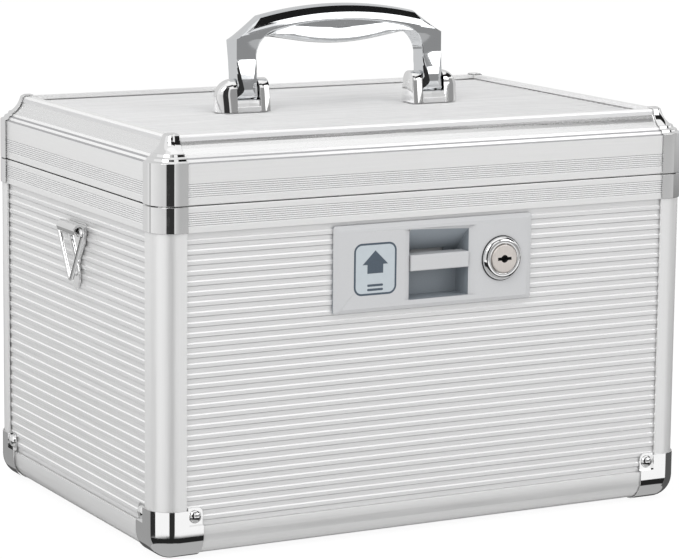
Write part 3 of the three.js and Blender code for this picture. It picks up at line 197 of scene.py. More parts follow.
# By slot or use: name, colour, roughness, metallic, grain, swings of colour and roughness, relief
FINISHES = {
    "chrome": ("Chrome", (0.87, 0.87, 0.87), 0.05, 1.0, (9.0,) * 3, 0.01, 0.015, 0.004),
    "handle_chrome": ("Handle chrome", (0.76, 0.775, 0.79), 0.05, 1.0, (9.0,) * 3, 0.01, 0.015, 0.004),
    "nickel": ("Satin nickel", (0.74, 0.69, 0.65), 0.34, 0.5, (0.5, 0.5, 14.0), 0.05, 0.06, 0.004),
    "steel": ("Zinc plated steel", (0.6, 0.61, 0.62), 0.35, 1.0, (4.0,) * 3, 0.1, 0.08, 0.003),
    "lock_plastic": ("Grey plastic", (0.56, 0.565, 0.575), 0.38, 0.0, (0.45,) * 3, 0.015, 0.06, 0.008),
    # recess: painted shade, a darker plastic for the faces deep in the lock's recess
    "recess": ("Recess plastic with painted shade", (0.27, 0.30, 0.33), 0.42, 0.0, (0.45,) * 3, 0.03, 0.06, 0.008),
    "board": ("Dark board", (0.06, 0.06, 0.065), 0.7, 0.0, (0.8,) * 3, 0.3, 0.08, 0.05),
    # lining: the case's black lining, and also painted shade in the keyway, round the barrel and in the
    # split
    "lining": ("Black lining and painted shade", (0.03, 0.03, 0.032), 0.85, 0.0, (0.35,) * 3, 0.4, 0.05, 0.06),
    "tray_plastic": ("Tray plastic", (0.78, 0.79, 0.80), 0.45, 0.0, (0.6,) * 3, 0.02, 0.07, 0.02),
    "label_ink": ("Label ink", (0.07, 0.095, 0.125), 0.5, 0.0, (0.7,) * 3, 0.08, 0.04),
    "label_ground": ("Label ground", (0.50, 0.55, 0.585), 0.5, 0.0, (3.0,) * 3, 0.015, 0.03),
}
materials = {key: finish(*values) for key, values in FINISHES.items()}
lining = materials["lining"]
DRAWN_MATERIALS = {"ridged_sheet": ridged, "frame_aluminium": aluminium}


# Meshes: a part is (points in mm, faces)


def shade_by_angle(mesh, angle):
    """Smooth shading up to an angle; the open edges of a skin stay crisp."""
    mesh.polygons.foreach_set("use_smooth", [True] * len(mesh.polygons))
    mesh.set_sharp_from_angle(angle=angle)
    uses = [0] * len(mesh.edges)
    for loop in mesh.loops:
        uses[loop.edge_index] += 1
    for edge in mesh.edges:
        edge.use_edge_sharp = edge.use_edge_sharp or uses[edge.index] == 1


def add_edges(obj, width):
    bevel = obj.modifiers.new("Edges", "BEVEL")
    bevel.width = width * MM
    bevel.segments = EDGE_SEGMENTS
    bevel.limit_method = "ANGLE"
    bevel.angle_limit = EDGE_ANGLE
    bevel.harden_normals = True


def mesh_of(name, points, faces, angle=EDGE_ANGLE):
    """A part's mesh, its faces turned outwards."""
    mesh = bpy.data.meshes.new(name)
    work = bmesh.new()
    corners = [work.verts.new(Vector(point) * MM) for point in points]
    for face in faces:
        work.faces.new([corners[i] for i in face])
    bmesh.ops.remove_doubles(work, verts=work.verts, dist=MERGE_DISTANCE * MM)
    bmesh.ops.recalc_face_normals(work, faces=work.faces)
    work.to_mesh(mesh)
    work.free()
    shade_by_angle(mesh, angle)
    return mesh


def add_to_scene(name, data):
    obj = bpy.data.objects.new(name, data)
    bpy.context.scene.collection.objects.link(obj)
    return obj


def add_piece(name, part, body, slot, replaced=None, material=None, angle=EDGE_ANGLE):
    """A named piece on a body, with its slot's own finish unless another one is given."""
    mesh = mesh_of(name, *part, angle)
    mesh.materials.append(material or materials[slot])
    obj = add_to_scene(name, mesh)
    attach(obj, body)
    if replaced:
        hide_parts(replaced)
    return obj


def cut(obj, part):
    """Takes a part's shape out of the object's mesh for good."""
    cutter = add_to_scene("Cutter", mesh_of("Cutter", *part))
    boolean = obj.modifiers.new("Cut", "BOOLEAN")
    boolean.operation = "DIFFERENCE"
    boolean.solver = "EXACT"
    boolean.object = cutter
    bpy.context.view_layer.update()
    shaped = bpy.data.meshes.new_from_object(obj.evaluated_get(bpy.context.evaluated_depsgraph_get()))
    obj.modifiers.clear()
    obj.data = shaped
    shade_by_angle(shaped, EDGE_ANGLE)
    bpy.data.objects.remove(cutter)


def band(rows, closed=True):
    """A skin through rows of equally many points; closed joins the last column to the first."""
    columns = len(rows[0])
    points = [point for row in rows for point in row]
    faces = []
    for start in range(0, columns * (len(rows) - 1), columns):
        for column in range(columns if closed else columns - 1):
            a, b = start + column, start + (column + 1) % columns
            faces.append((a, b, b + columns, a + columns))
    return points, faces


def loft(rings):
    """A closed solid through rings of equally many points."""
    points, faces = band(rings)
    ends = range(len(rings[0])), range(len(points) - len(rings[0]), len(points))
    return points, faces + [tuple(end) for end in ends]


def plate(outline, low, high, place):
    """A flat outline with a thickness; place turns (a, b, depth) into (x, y, z)."""
    return loft([[place(a, b, depth) for a, b in outline] for depth in (low, high)])


def arc(centre_a, centre_b, radius, start, end, steps):
    """Points along an arc, its angles in degrees."""
    points = []
    for i in range(steps + 1):
        angle = math.radians(start + (end - start) * i / steps)
        points.append((centre_a + radius * math.cos(angle), centre_b + radius * math.sin(angle)))
    return points


def circle(radius, sides):
    return arc(0, 0, radius, 0, 360 - 360 / sides, sides - 1)


def mirrored(part, sx, sy=1):
    points, faces = part
    return [(x * sx, y * sy, z) for x, y, z in points], faces


def join(parts):
    points, faces = [], []
    for more_points, more_faces in parts:
        start = len(points)
        points.extend(more_points)
        faces.extend(tuple(i + start for i in face) for face in more_faces)
    return points, faces


def mix(a, b, share):
    return a + (b - a) * share


# The CAD solids that keep their own shape

KEPT_SLOTS = {entry["node"]: entry["material_slot"] for entry in frame["record"]["subparts"]}
EDGE_WIDTHS = {
    "lock_housing": 0.4,
    "latch_slider": 0.4,
    "tray": 0.5,
    "lid_rim": 0.06,
    "base_rim": 0.06,
    "panel": 0.1,
}
RIB_FROM = 2.5
RIB_TO = 11.5
SLOPE = (0.15, 0.95)
RECESS_SHADE_FROM = 2.0
LEVEL = 0.96


def long_axis(name):
    low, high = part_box(name)
    sizes = [b - a for a, b in zip(low, high)]
    return sizes.index(max(sizes))


def dress_node(name, slot, width):
    """A CAD solid keeps its shape and gets its finish, merged facets and broken edges."""
    node = nodes[name]
    node.data.materials.clear()
    drawn_finish = DRAWN_MATERIALS.get(slot)
    node.data.materials.append(drawn_finish[long_axis(name)] if drawn_finish else materials[slot])
    for attribute in ("custom_normal", "sharp_edge", "sharp_face"):
        found = node.data.attributes.get(attribute)
        if found:
            node.data.attributes.remove(found)
    node.data.polygons.foreach_set("use_smooth", [True] * len(node.data.polygons))
    weld = node.modifiers.new("Facets", "WELD")
    weld.merge_threshold = WELD_DISTANCE * MM
    add_edges(node, width)


def finish_faces(mesh, material, chosen):
    """Another material on the faces that chosen(normal, centre in mm) picks."""
    mesh.materials.append(material)
    index = len(mesh.materials) - 1
    for face in mesh.polygons:
        if chosen(face.normal, face.center / MM):
            face.material_index = index


def sloping(normal):
    return SLOPE[0] < abs(normal.z) < SLOPE[1]


def finish_rim(name, bottom):
    """Painted highlight on the upward slopes of the ribs, painted shade on their downward slopes, a satin
    cove over two beads with painted shade on its steep top, painted highlight on the lip and the bead
    risers, painted shade on the bead treads and in the split.
    """
    mesh = nodes[name].data
    axis = long_axis(name)
    low, high = bottom + RIB_FROM, bottom + RIB_TO
    cove = LID_WALL_TOP + BEAD_RISE
    # Painted highlight and painted shade, chosen by the way each face looks: rib slopes facing up, bead
    # risers and lip bright; rib slopes facing down, bead treads and the cove's steep top dark
    looks = (
        (painted_highlight, lambda n, z: sloping(n) and low < z < high and n.z > 0),
        (painted_groove_shade, lambda n, z: sloping(n) and low < z < high and n.z < 0),
        (coved, lambda n, z: sloping(n) and z > cove),
        (painted_faint_shade, lambda n, z: z > cove and SLOPE[0] < n.z < COVE_STEEP),
        (painted_highlight, lambda n, z: sloping(n) and z > CASE_HEIGHT - LID_LIP_RISE),
        (painted_highlight, lambda n, z: sloping(n) and LID_WALL_TOP < z < cove),
        (painted_groove_shade, lambda n, z: LID_WALL_TOP < z < cove and BEAD_TREAD_SLOPE < n.z < LEVEL),
    )
    for finishes, chosen in looks:
        finish_faces(mesh, finishes[axis], lambda n, c: chosen(n, c.z))
    # Painted shade: the faces that meet across the split gap are black
    finish_faces(mesh, lining, lambda n, c: abs(n.z) > LEVEL and abs(c.z - SPLIT_HEIGHT) < SPLIT_GAP)


def dress_nodes():
    for name, slot in KEPT_SLOTS.items():
        widths = [width for stem, width in EDGE_WIDTHS.items() if name.startswith(stem)]
        dress_node(name, slot, widths[0] if widths else EDGE_WIDTH)
    finish_faces(nodes["panel_lid"].data, lining, lambda n, c: n.z < -LEVEL)
    finish_faces(nodes["panel_floor"].data, lining, lambda n, c: n.z > LEVEL)
    for side in ("front", "rear", "left", "right"):
        finish_rim(f"base_rim_{side}", BASE_RIM_BOTTOM)
        finish_rim(f"lid_rim_{side}", LID_BOTTOM)
    # Painted shade: the faces deep in the lock housing's recess get a darker plastic
    shade_from_depth = PLATE_FACE + RECESS_SHADE_FROM
    finish_faces(nodes["lock_housing"].data, materials["recess"], lambda n, c: c.y > shade_from_depth)


# Wall panels: sheets with broad flat ridges, painted highlight on their edges, and a groove under each
# with painted shade

SHEET_CREST = 1.5
SHEET_GROUND = 2.0
SHEET_BACK = 5.3
SHEET_REACH = 10.3
SHEET_BOTTOM = 11.2
SHEET_TOP = 176.4
RIDGE_PITCH = 5.325
RIDGE_START = 5.0
RIDGE_END = 3.0
RIDGE_FIRST = RAIL_TOP + RIDGE_START
RIDGE_LAST = BASE_RIM_BOTTOM - RIDGE_END
RIDGE_ABOVE = 0.65
RIDGE_BELOW = 2.0
RIDGE_UPPER_EDGE = 0.62
RIDGE_LOWER_EDGE = 0.2
GROOVE_DEPTH = 2.4
GROOVE_WIDTH = 0.24
# x from, to, z from, to
RECESS_OPENING = (-16.7, 23.1, 124.7, 165.8)
BARREL_OPENING = 9.8
BARREL_OPENING_SIDES = 36


def sheet_section():
    """Section of a ridged sheet as (depth, z)."""
    points = [(SHEET_BACK, SHEET_TOP), (SHEET_BACK, SHEET_BOTTOM), (SHEET_GROUND, SHEET_BOTTOM)]
    count = int((RIDGE_LAST - RIDGE_FIRST) / RIDGE_PITCH) + 1
    for i in range(count):
        place = RIDGE_FIRST + i * RIDGE_PITCH
        low, high = place - RIDGE_BELOW, place + RIDGE_ABOVE
        points += [(SHEET_GROUND, low - GROOVE_WIDTH), (GROOVE_DEPTH, low - GROOVE_WIDTH / 2)]
        points += [(SHEET_GROUND, low), (SHEET_CREST, low + RIDGE_LOWER_EDGE)]
        points += [(SHEET_CREST, high - RIDGE_UPPER_EDGE), (SHEET_GROUND, high)]
    return points + [(SHEET_GROUND, SHEET_TOP)]


def in_groove(z):
    """Whether a height lies in the groove or on the lower edge of a ridge."""
    above = (z - RIDGE_FIRST + RIDGE_BELOW + GROOVE_WIDTH) % RIDGE_PITCH
    return above < GROOVE_WIDTH + RIDGE_LOWER_EDGE


def open_for_lock(obj):
    """Openings in the front sheet for the latch's recess and the lock's barrel."""
    x_low, x_high, z_low, z_high = RECESS_OPENING
    recess = [(x_low, z_low), (x_high, z_low), (x_high, z_high), (x_low, z_high)]
    place = lambda a, b, depth: (a, depth - CASE_HALF_DEPTH, b)
    bore = [(LOCK_X + a, LOCK_Z + b) for a, b in circle(BARREL_OPENING, BARREL_OPENING_SIDES)]
    for outline in (recess, bore):
        cut(obj, plate(outline, 0, SHEET_BACK * 2, place))


def add_sheets():
    sides = (("front", 0, -1), ("rear", 0, 1), ("left", 1, -1), ("right", 1, 1))
    for side, axis, way in sides:
        halves = (CASE_HALF_WIDTH, CASE_HALF_DEPTH)
        half, across = halves if axis == 0 else halves[::-1]
        rings = []
        for end in (SHEET_REACH - half, half - SHEET_REACH):
            walls = [(way * (across - depth), z) for depth, z in sheet_section()]
            rings.append([(end, a, z) if axis == 0 else (a, end, z) for a, z in walls])
        part = loft(rings)
        obj = add_piece(f"sheet_{side}", part, "case", "ridged_sheet", f"panel_{side}", ridged[axis])
        if side == "front":
            open_for_lock(obj)
        # Painted highlight on the ridges' slopes, painted shade on their lower edges and in the grooves:
        # faint on the front and rear, dark on the left and right
        line = painted_faint_shade if axis == 0 else painted_groove_shade
        finish_faces(obj.data, lining, lambda n, c: -way * n[1 - axis] > LEVEL)
        finish_faces(obj.data, painted_highlight[axis], lambda n, c: sloping(n))
        finish_faces(obj.data, line[axis], lambda n, c: sloping(n) and in_groove(c.z))


# Chromed covers of the corners. Points are given as (a, b, z): a and b are the
# distances inwards from the two outer faces that meet at the corner.

CORNERS = {"front_left": (1, 1), "front_right": (-1, 1), "rear_left": (1, -1), "rear_right": (-1, -1)}
COVER_ARC_STEPS = 16
COVER_EDGE = 0.18
BEAD_TREAD = 1.6
BEAD_TREAD_RISE = 0.6
BEAD_RISER = 1.35
BEAD_RISER_RUN = 0.5
BEAD_COUNT = 2
BEAD_TREAD_SLOPE = 0.8
COVE_STEEP = 0.36
COVE_RADIUS = 14.8
COVE_START = 35.0
COVE_END = 75.0
COVE_STEPS = 14
COVE_RUN = COVE_RADIUS * math.sin(math.radians(COVE_START))
COVE_DROP = COVE_RADIUS * math.cos(math.radians(COVE_START))
COVE_RISE = COVE_DROP - COVE_RADIUS * math.cos(math.radians(COVE_END))
LID_LIP_EDGE = 0.5
LID_LIP_RISE = 1.16
BEAD_RISE = BEAD_COUNT * (BEAD_TREAD_RISE + BEAD_RISER)
LID_WALL_TOP = CASE_HEIGHT - BEAD_RISE - COVE_RISE - LID_LIP_RISE
LID_TOP_RADIUS = 2.5
CAP_LEG = 25.5
CAP_HEIGHT = 26.5
TAB_HEIGHT = 27.6
TAB_RADIUS = 3.0
TAB_DEPTH = 0.6
BALL_STEPS = 12


def lid_line():
    """Outer line of the lid frame as (inset, z)."""
    points = [(0.0, LID_BOTTOM), (0.0, LID_WALL_TOP)]
    for run, rise in ((BEAD_TREAD, BEAD_TREAD_RISE), (BEAD_RISER_RUN, BEAD_RISER)) * BEAD_COUNT:
        points.append((points[-1][0] + run, points[-1][1] + rise))
    inset, z = points[-1]
    centre = inset + BEAD_RISER_RUN - COVE_RUN
    points += arc(centre, z + COVE_DROP, COVE_RADIUS, COVE_START - 90, COVE_END - 90, COVE_STEPS)
    edge = points[-1][0]
    points.append((edge + LID_LIP_EDGE / 2, CASE_HEIGHT - LID_LIP_EDGE))
    points.append((edge + LID_LIP_EDGE * 2, CASE_HEIGHT))
    return points


def offset_line(points, distance):
    """The line moved outwards by an even distance; after its end it goes on level."""
    ways = [(Vector(after) - Vector(before)).normalized() for before, after in zip(points, points[1:])]
    moved = []
    for (inset, z), into, out in zip(points, ways[:1] + ways, ways + [Vector((1, 0))]):
        along = (into + out).normalized()
        reach = distance / along.dot(into)
        moved.append((inset - along.y * reach, z + along.x * reach))
    return moved


def corner_path(inset, radius, leg):
    """Plan of a cover from the end of one leg round the corner to the end of the other."""
    centre = inset + radius
    lead = 0.0
    if centre > leg:
        lead = math.degrees(math.asin(min((centre - leg) / radius, 1.0)))
    path = arc(centre, centre, radius, 270 - lead, 180 + lead, COVER_ARC_STEPS)
    return [(leg, path[0][1])] + path + [(path[-1][0], leg)]


def level_row(path, z):
    return [(a, b, z) for a, b in path]


def lid_corner_skin():
    line = lid_line()
    rows = []
    for (inset, z), (old_inset, _) in zip(offset_line(line, COVER_PROUD), line):
        radius = COVER_PROUD + mix(CORNER_RADIUS, LID_TOP_RADIUS, old_inset / line[-1][0])
        rows.append(level_row(corner_path(inset, radius, COVER_LEG), z))
    rows.append([(COVER_LEG, COVER_LEG, rows[-1][0][2])] * len(rows[0]))
    return band(rows, closed=False)


def rim_corner_skin():
    path = corner_path(-COVER_PROUD, CORNER_RADIUS + COVER_PROUD, COVER_LEG)
    return band([level_row(path, z) for z in (BASE_RIM_BOTTOM, BASE_RIM_TOP)], closed=False)


def cap_tab():
    """Riveted tab of a foot cap, with the web and the sill that carry it."""
    leg, sill, front = RAIL_TOP, RAIL_TOP + COVER_PROUD, -COVER_PROUD
    rounded = arc(CAP_LEG - TAB_RADIUS, TAB_HEIGHT - TAB_RADIUS, TAB_RADIUS, 90, 0, BALL_STEPS)
    outline = [(leg, sill), (leg, CAP_HEIGHT), (leg, TAB_HEIGHT)] + rounded + [(CAP_LEG, sill)]
    tab = [(a, TAB_DEPTH, z) for a, z in outline]
    side_view = ((front, sill), (TAB_DEPTH, sill), (TAB_DEPTH, CAP_HEIGHT), (front, CAP_HEIGHT))
    web = [(leg, b, z) for b, z in side_view]
    plan = ((leg, front), (CAP_LEG, front), (CAP_LEG, TAB_DEPTH), (leg, TAB_DEPTH))
    step = level_row(plan, sill)
    return join([(points, [tuple(range(len(points)))]) for points in (tab, web, step)])


def foot_cap_skin():
    ball = CORNER_RADIUS + COVER_PROUD
    leg, sill = RAIL_TOP, RAIL_TOP + COVER_PROUD
    wall = corner_path(-COVER_PROUD, ball, leg)
    upper = [level_row(wall, z) for z in (sill, CAP_HEIGHT)]
    levels = [(leg, 0.0, TIP)]
    for reach, height in arc(0, 0, ball, -90, 0, BALL_STEPS):
        levels.append((CORNER_RADIUS - max(reach, TIP), ball + height, max(reach, TIP)))
    levels.append((-COVER_PROUD, sill, ball))
    lower = []
    for inset, z, radius in levels:
        first, *path, last = corner_path(inset, radius, CAP_LEG)
        path = [first, (leg, first[1])] + path + [(last[0], leg), last]
        lower.append(level_row(path, z))
    tab = cap_tab()
    other = [(b, a, z) for a, b, z in tab[0]], tab[1]
    return join([band(lower, closed=False), band(upper, closed=False), tab, other])


def add_covers():
    covers = (
        ("lid_cover", lid_corner_skin(), "lid", "lid_corner"),
        ("rim_cover", rim_corner_skin(), "case", "rim_corner"),
        ("foot_cover", foot_cap_skin(), "case", "foot_cap"),
    )
    for stem, (points, faces), body, replaced in covers:
        skin = [(a - CASE_HALF_WIDTH, b - CASE_HALF_DEPTH, z) for a, b, z in points], faces
        for end, signs in CORNERS.items():
            obj = add_piece(f"{stem}_{end}", mirrored(skin, *signs), body, "chrome", f"{replaced}_{end}")
            thick = obj.modifiers.new("Thickness", "SOLIDIFY")
            thick.thickness = COVER_THICKNESS * MM
            thick.offset = -1.0
            thick.use_even_offset = True
            add_edges(obj, COVER_EDGE)


# Rivets: domed heads on the foot caps, the strap clips and the hinges

RIVET_RINGS = 8
RIVET_SIDES = 28
RIVET_SUNK_SHARE = 0.25
RIVET_TIP_SHARE = 0.005
CAP_RIVET = (3.5, 2.0)
CAP_RIVET_PLACE = (21.2, 22.9)
CLIP_RIVET = (1.5, 0.7)
CLIP_FRONT = 159.8
CLIP_Y = -5.0
CLIP_RIVETS = ((-5.5, 152.5), (5.5, 152.5), (0.0, 134.4))
HINGE_RIVET = (1.7, 0.8)
HINGE_CENTRE = 92.0
HINGE_RIVET_OFFSETS = (-18.0, 0.0, 18.0)
HINGE_RIVET_RISE = 8.2
LEAF_THICKNESS = 1.2
LEAF_BACK = CASE_HALF_DEPTH + COVER_LIFT + LEAF_THICKNESS


def rivet(sizes, place, outwards):
    """A domed head of (radius, height) set down at a place, its top turned outwards."""
    radius, height = sizes
    rings = []
    for a, b in [(1, -RIVET_SUNK_SHARE)] + arc(0, 0, 1, 0, 90, RIVET_RINGS):
        rings.append(level_row(circle(radius * max(a, RIVET_TIP_SHARE), RIVET_SIDES), height * b))
    points, faces = loft(rings)
    turn = Vector((0, 0, 1)).rotation_difference(Vector(outwards)).to_matrix()
    return [tuple(turn @ Vector(point) + Vector(place)) for point in points], faces


def add_rivets():
    along, height = CAP_RIVET_PLACE
    front = rivet(CAP_RIVET, (along - CASE_HALF_WIDTH, TAB_DEPTH - CASE_HALF_DEPTH, height), (0, -1, 0))
    side = rivet(CAP_RIVET, (TAB_DEPTH - CASE_HALF_WIDTH, along - CASE_HALF_DEPTH, height), (-1, 0, 0))
    for end, signs in CORNERS.items():
        add_piece(f"foot_rivets_{end}", mirrored(join([front, side]), *signs), "case", "chrome")
    for side_name, sx in (("left", -1), ("right", 1)):
        heads = [rivet(CLIP_RIVET, (sx * CLIP_FRONT, CLIP_Y + y, z), (sx, 0, 0)) for y, z in CLIP_RIVETS]
        add_piece(f"clip_rivets_{side_name}", join(heads), "case", "chrome")
    for body, way in (("case", -1), ("lid", 1)):
        z = SPLIT_HEIGHT + way * HINGE_RIVET_RISE
        places = [sx * HINGE_CENTRE + offset for sx in (-1, 1) for offset in HINGE_RIVET_OFFSETS]
        heads = [rivet(HINGE_RIVET, (x, LEAF_BACK, z), (0, 1, 0)) for x in places]
        add_piece(f"hinge_rivets_{body}", join(heads), body, "steel")


# Turned pieces of the key lock

LOCK_X = 40.6
LOCK_Z = 145.0
LOCK_SIDES = 72
LIP_STEPS = 5
PLUG_FRONT = -115.0
RING_RADIUS = 11.8
RING_FRONT = -114.2
RING_START = -84.0
RING_STEPS = 14
SHADOW_RING_MARGIN = 0.4
PLATE_FACE = -111.4
BARREL_RADIUS = 9.5
BARREL_BACK = -93.6
BARREL_LIP = 0.6
FACE_BORE = 7.85
FACE_BORE_DEPTH = 3.7
PLUG_FACE_RADIUS = 7.55
PLUG_FACE_DEPTH = 2.9
PLUG_EDGE = 0.5
PLUG_RADIUS = 5.85
PLUG_PLAY = 0.3
PLUG_END_RADIUS = 7.5
PLUG_END = (-90.5, -88.5)
KEYWAY_HALF_LENGTH = 4.2
KEYWAY_HALF_WIDTH = 0.85
KEYWAY_EYE = 2.1
KEYWAY_DEPTH = 5.0
KEYWAY_OVERRUN = 1.0
KEYWAY_LIP = 0.2
KEYWAY_STEPS = 16


def turned(profile, closed=True):
    """A solid of revolution on the lock's axis, from (radius, y) points."""
    rings = [[(LOCK_X + a, y, LOCK_Z + b) for a, b in circle(r, LOCK_SIDES)] for r, y in profile]
    return band(rings + rings[:1]) if closed else loft(rings)


def add_barrel():
    seat = PLATE_FACE - COVER_LIFT
    rise = seat - RING_FRONT
    bore = PLUG_RADIUS + PLUG_PLAY
    floor = PLUG_FRONT + FACE_BORE_DEPTH
    profile = arc(FACE_BORE + BARREL_LIP, RING_FRONT + BARREL_LIP, BARREL_LIP, 180, 270, LIP_STEPS)
    profile += arc(RING_RADIUS - rise, seat, rise, RING_START, 0, RING_STEPS)
    profile += [(BARREL_RADIUS, seat), (BARREL_RADIUS, BARREL_BACK), (bore, BARREL_BACK)]
    profile += [(bore, floor), (FACE_BORE, floor)]
    add_piece("barrel", turned(profile), "case", "chrome", "lock_barrel")
    # Painted shadow: a thin black ring fills the gap under the barrel's ring and shows round it, where
    # there is only shade
    rim = RING_RADIUS + SHADOW_RING_MARGIN
    shadow_ring = [(BARREL_RADIUS, PLATE_FACE), (rim, PLATE_FACE), (rim, seat), (BARREL_RADIUS, seat)]
    add_piece("barrel_shadow_ring", turned(shadow_ring), "case", "lock_plastic", material=lining)


def keyway_outline():
    """Slot with a round eye in its middle, as (x, z) points about the lock's axis."""
    lead = math.degrees(math.asin(KEYWAY_HALF_WIDTH / KEYWAY_EYE))
    half = arc(0, 0, KEYWAY_EYE, lead, 180 - lead, KEYWAY_STEPS)
    half += [(-KEYWAY_HALF_LENGTH, KEYWAY_HALF_WIDTH), (-KEYWAY_HALF_LENGTH, -KEYWAY_HALF_WIDTH)]
    return half + [(-a, -b) for a, b in half]


def in_keyway(_, centre):
    aside = math.hypot(centre.x - LOCK_X, centre.z - LOCK_Z)
    inwards = centre.y - PLUG_FRONT
    return KEYWAY_LIP < inwards < KEYWAY_DEPTH + KEYWAY_LIP and aside < KEYWAY_HALF_LENGTH + KEYWAY_LIP


def add_plug():
    face_back = PLUG_FRONT + PLUG_FACE_DEPTH
    profile = [(TIP, PLUG_FRONT)]
    profile += arc(PLUG_FACE_RADIUS - PLUG_EDGE, PLUG_FRONT + PLUG_EDGE, PLUG_EDGE, -90, 0, LIP_STEPS)
    profile += [(PLUG_FACE_RADIUS, face_back), (PLUG_RADIUS, face_back), (PLUG_RADIUS, PLUG_END[0])]
    profile += [(PLUG_END_RADIUS, y) for y in PLUG_END] + [(TIP, PLUG_END[1])]
    plug = add_piece("plug", turned(profile, closed=False), "key_plug", "nickel", "lock_plug")
    place = lambda a, b, depth: (LOCK_X + a, PLUG_FRONT + depth, LOCK_Z + b)
    cut(plug, plate(keyway_outline(), -KEYWAY_OVERRUN, KEYWAY_DEPTH, place))
    # Painted shade: the faces inside the keyway are black
    finish_faces(plug.data, lining, in_keyway)


# Label on the lock plate: rounded frame, arrow and two bars

LABEL_CENTRE = (-36.15, 144.6)
LABEL_HALF = (12.65, 13.8)
LABEL_RADIUS = 4.6
LABEL_STEPS = 10
LABEL_LINE = 1.05
LABEL_GROUND_THICKNESS = 0.04
LABEL_INK_THICKNESS = 0.08
ARROW_HALF = 7.6
ARROW_TIP = 154.4
ARROW_SHOULDER = 147.0
ARROW_FOOT = 142.3
ARROW_STEM_HALF = 4.7
LABEL_BARS = (136.0, 133.7)
LABEL_BAR_HALF = (4.7, 0.62)
LABEL_BAR_RADIUS = 0.558
LABEL_BAR_STEPS = 4


def rounded_outline(half_a, half_b, radius, steps=LABEL_STEPS):
    a, b = half_a - radius, half_b - radius
    half = arc(a, b, radius, 0, 90, steps) + arc(-a, b, radius, 90, 180, steps)
    return half + [(-a, -b) for a, b in half]


def add_label():
    cx, cz = LABEL_CENTRE
    ink = LABEL_INK_THICKNESS
    place = lambda a, b, depth: (cx + a, PLATE_FACE - depth, cz + b)
    outer = rounded_outline(*LABEL_HALF, LABEL_RADIUS)
    inner = rounded_outline(*[half - LABEL_LINE for half in LABEL_HALF], LABEL_RADIUS - LABEL_LINE)
    ground = plate(outer, -LABEL_GROUND_THICKNESS, LABEL_GROUND_THICKNESS, place)
    add_piece("label_ground", ground, "case", "lock_plastic", material=materials["label_ground"])
    rings = ((outer, 0), (outer, ink), (inner, ink), (inner, 0), (outer, 0))
    parts = [band([[place(a, b, depth) for a, b in ring] for ring, depth in rings])]
    shoulder, tip, foot = ARROW_SHOULDER - cz, ARROW_TIP - cz, ARROW_FOOT - cz
    half = [(ARROW_STEM_HALF, foot), (ARROW_STEM_HALF, shoulder), (ARROW_HALF, shoulder)]
    parts.append(plate(half + [(0, tip)] + [(-a, b) for a, b in reversed(half)], 0, ink, place))
    for bar_z in LABEL_BARS:
        outline = rounded_outline(*LABEL_BAR_HALF, LABEL_BAR_RADIUS, LABEL_BAR_STEPS)
        parts.append(plate([(a, b + bar_z - cz) for a, b in outline], 0, ink, place))
    add_piece("label_print", join(parts), "case", "lock_plastic", material=materials["label_ink"])


# Wires: the strap rings and the latch spring

ROLL_X = 163.0
ROLL_Z = 159.3
RING_WIRE = 1.25
RING_HALF = 15.7
RING_DROP = 29.2
RING_BEND = 2.0
RING_BEND_STEPS = 14
RING_TIP_BEND = 1.6
RING_TIP_STEPS = 10
RING_TAIL = 5.0
WIRE_SIDES = 20
SPRING_X = -10.3
SPRING_Y = -89.5
SPRING_RADIUS = 2.3
SPRING_WIRE = 0.4
SPRING_SIDES = 10
SPRING_TURNS = 6
SPRING_TURN_STEPS = 24
SPRING_FOOT = 141.8
SPRING_HEAD = 159.7


def tube(path, radius, sides):
    """A wire through the path's points, its rings turned as little as possible."""
    points = [Vector(point) for point in path]
    ways = zip(points[:1] + points[:-1], points[1:] + points[-1:])
    tangents = [(after - before).normalized() for before, after in ways]
    across = tangents[0].orthogonal().normalized()
    rings = []
    for i, (point, tangent) in enumerate(zip(points, tangents)):
        if i:
            across = tangents[i - 1].rotation_difference(tangent) @ across
        side = tangent.cross(across)
        rings.append([tuple(point + across * a + side * b) for a, b in circle(radius, sides)])
    return loft(rings)


def add_strap_rings():
    arm = math.degrees(math.atan2(RING_DROP, RING_HALF))
    half = [(RING_HALF - RING_BEND - RING_TAIL, 0.0)]
    half += arc(RING_HALF - RING_BEND, -RING_BEND, RING_BEND, 90, arm - 90, RING_BEND_STEPS)
    tip_rise = RING_TIP_BEND / math.cos(math.radians(arm))
    half += arc(0, tip_rise - RING_DROP, RING_TIP_BEND, arm - 90, -90, RING_TIP_STEPS)
    outline = half + [(-a, b) for a, b in reversed(half[:-1])]
    for side_name, sx in (("left", -1), ("right", 1)):
        path = [(sx * ROLL_X, CLIP_Y + a, ROLL_Z + b) for a, b in outline]
        ring = f"strap_ring_{side_name}"
        add_piece(f"wire_ring_{side_name}", tube(path, RING_WIRE, WIRE_SIDES), ring, "chrome", ring)


def add_spring():
    count = SPRING_TURNS * SPRING_TURN_STEPS
    low, high = SPRING_FOOT + SPRING_WIRE, SPRING_HEAD - SPRING_WIRE
    path = []
    for i, (x, y) in enumerate(arc(SPRING_X, SPRING_Y, SPRING_RADIUS, 0, 360 * SPRING_TURNS, count)):
        path.append((x, y, mix(low, high, i / count)))
    obj = add_piece("spring_coil", tube(path, SPRING_WIRE, SPRING_SIDES), "case", "steel", "latch_spring")
    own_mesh(obj)


# Handle: a loft of outlines from the front face to the back one. Every outline
# has the same stations, so that the faces run across the frame.

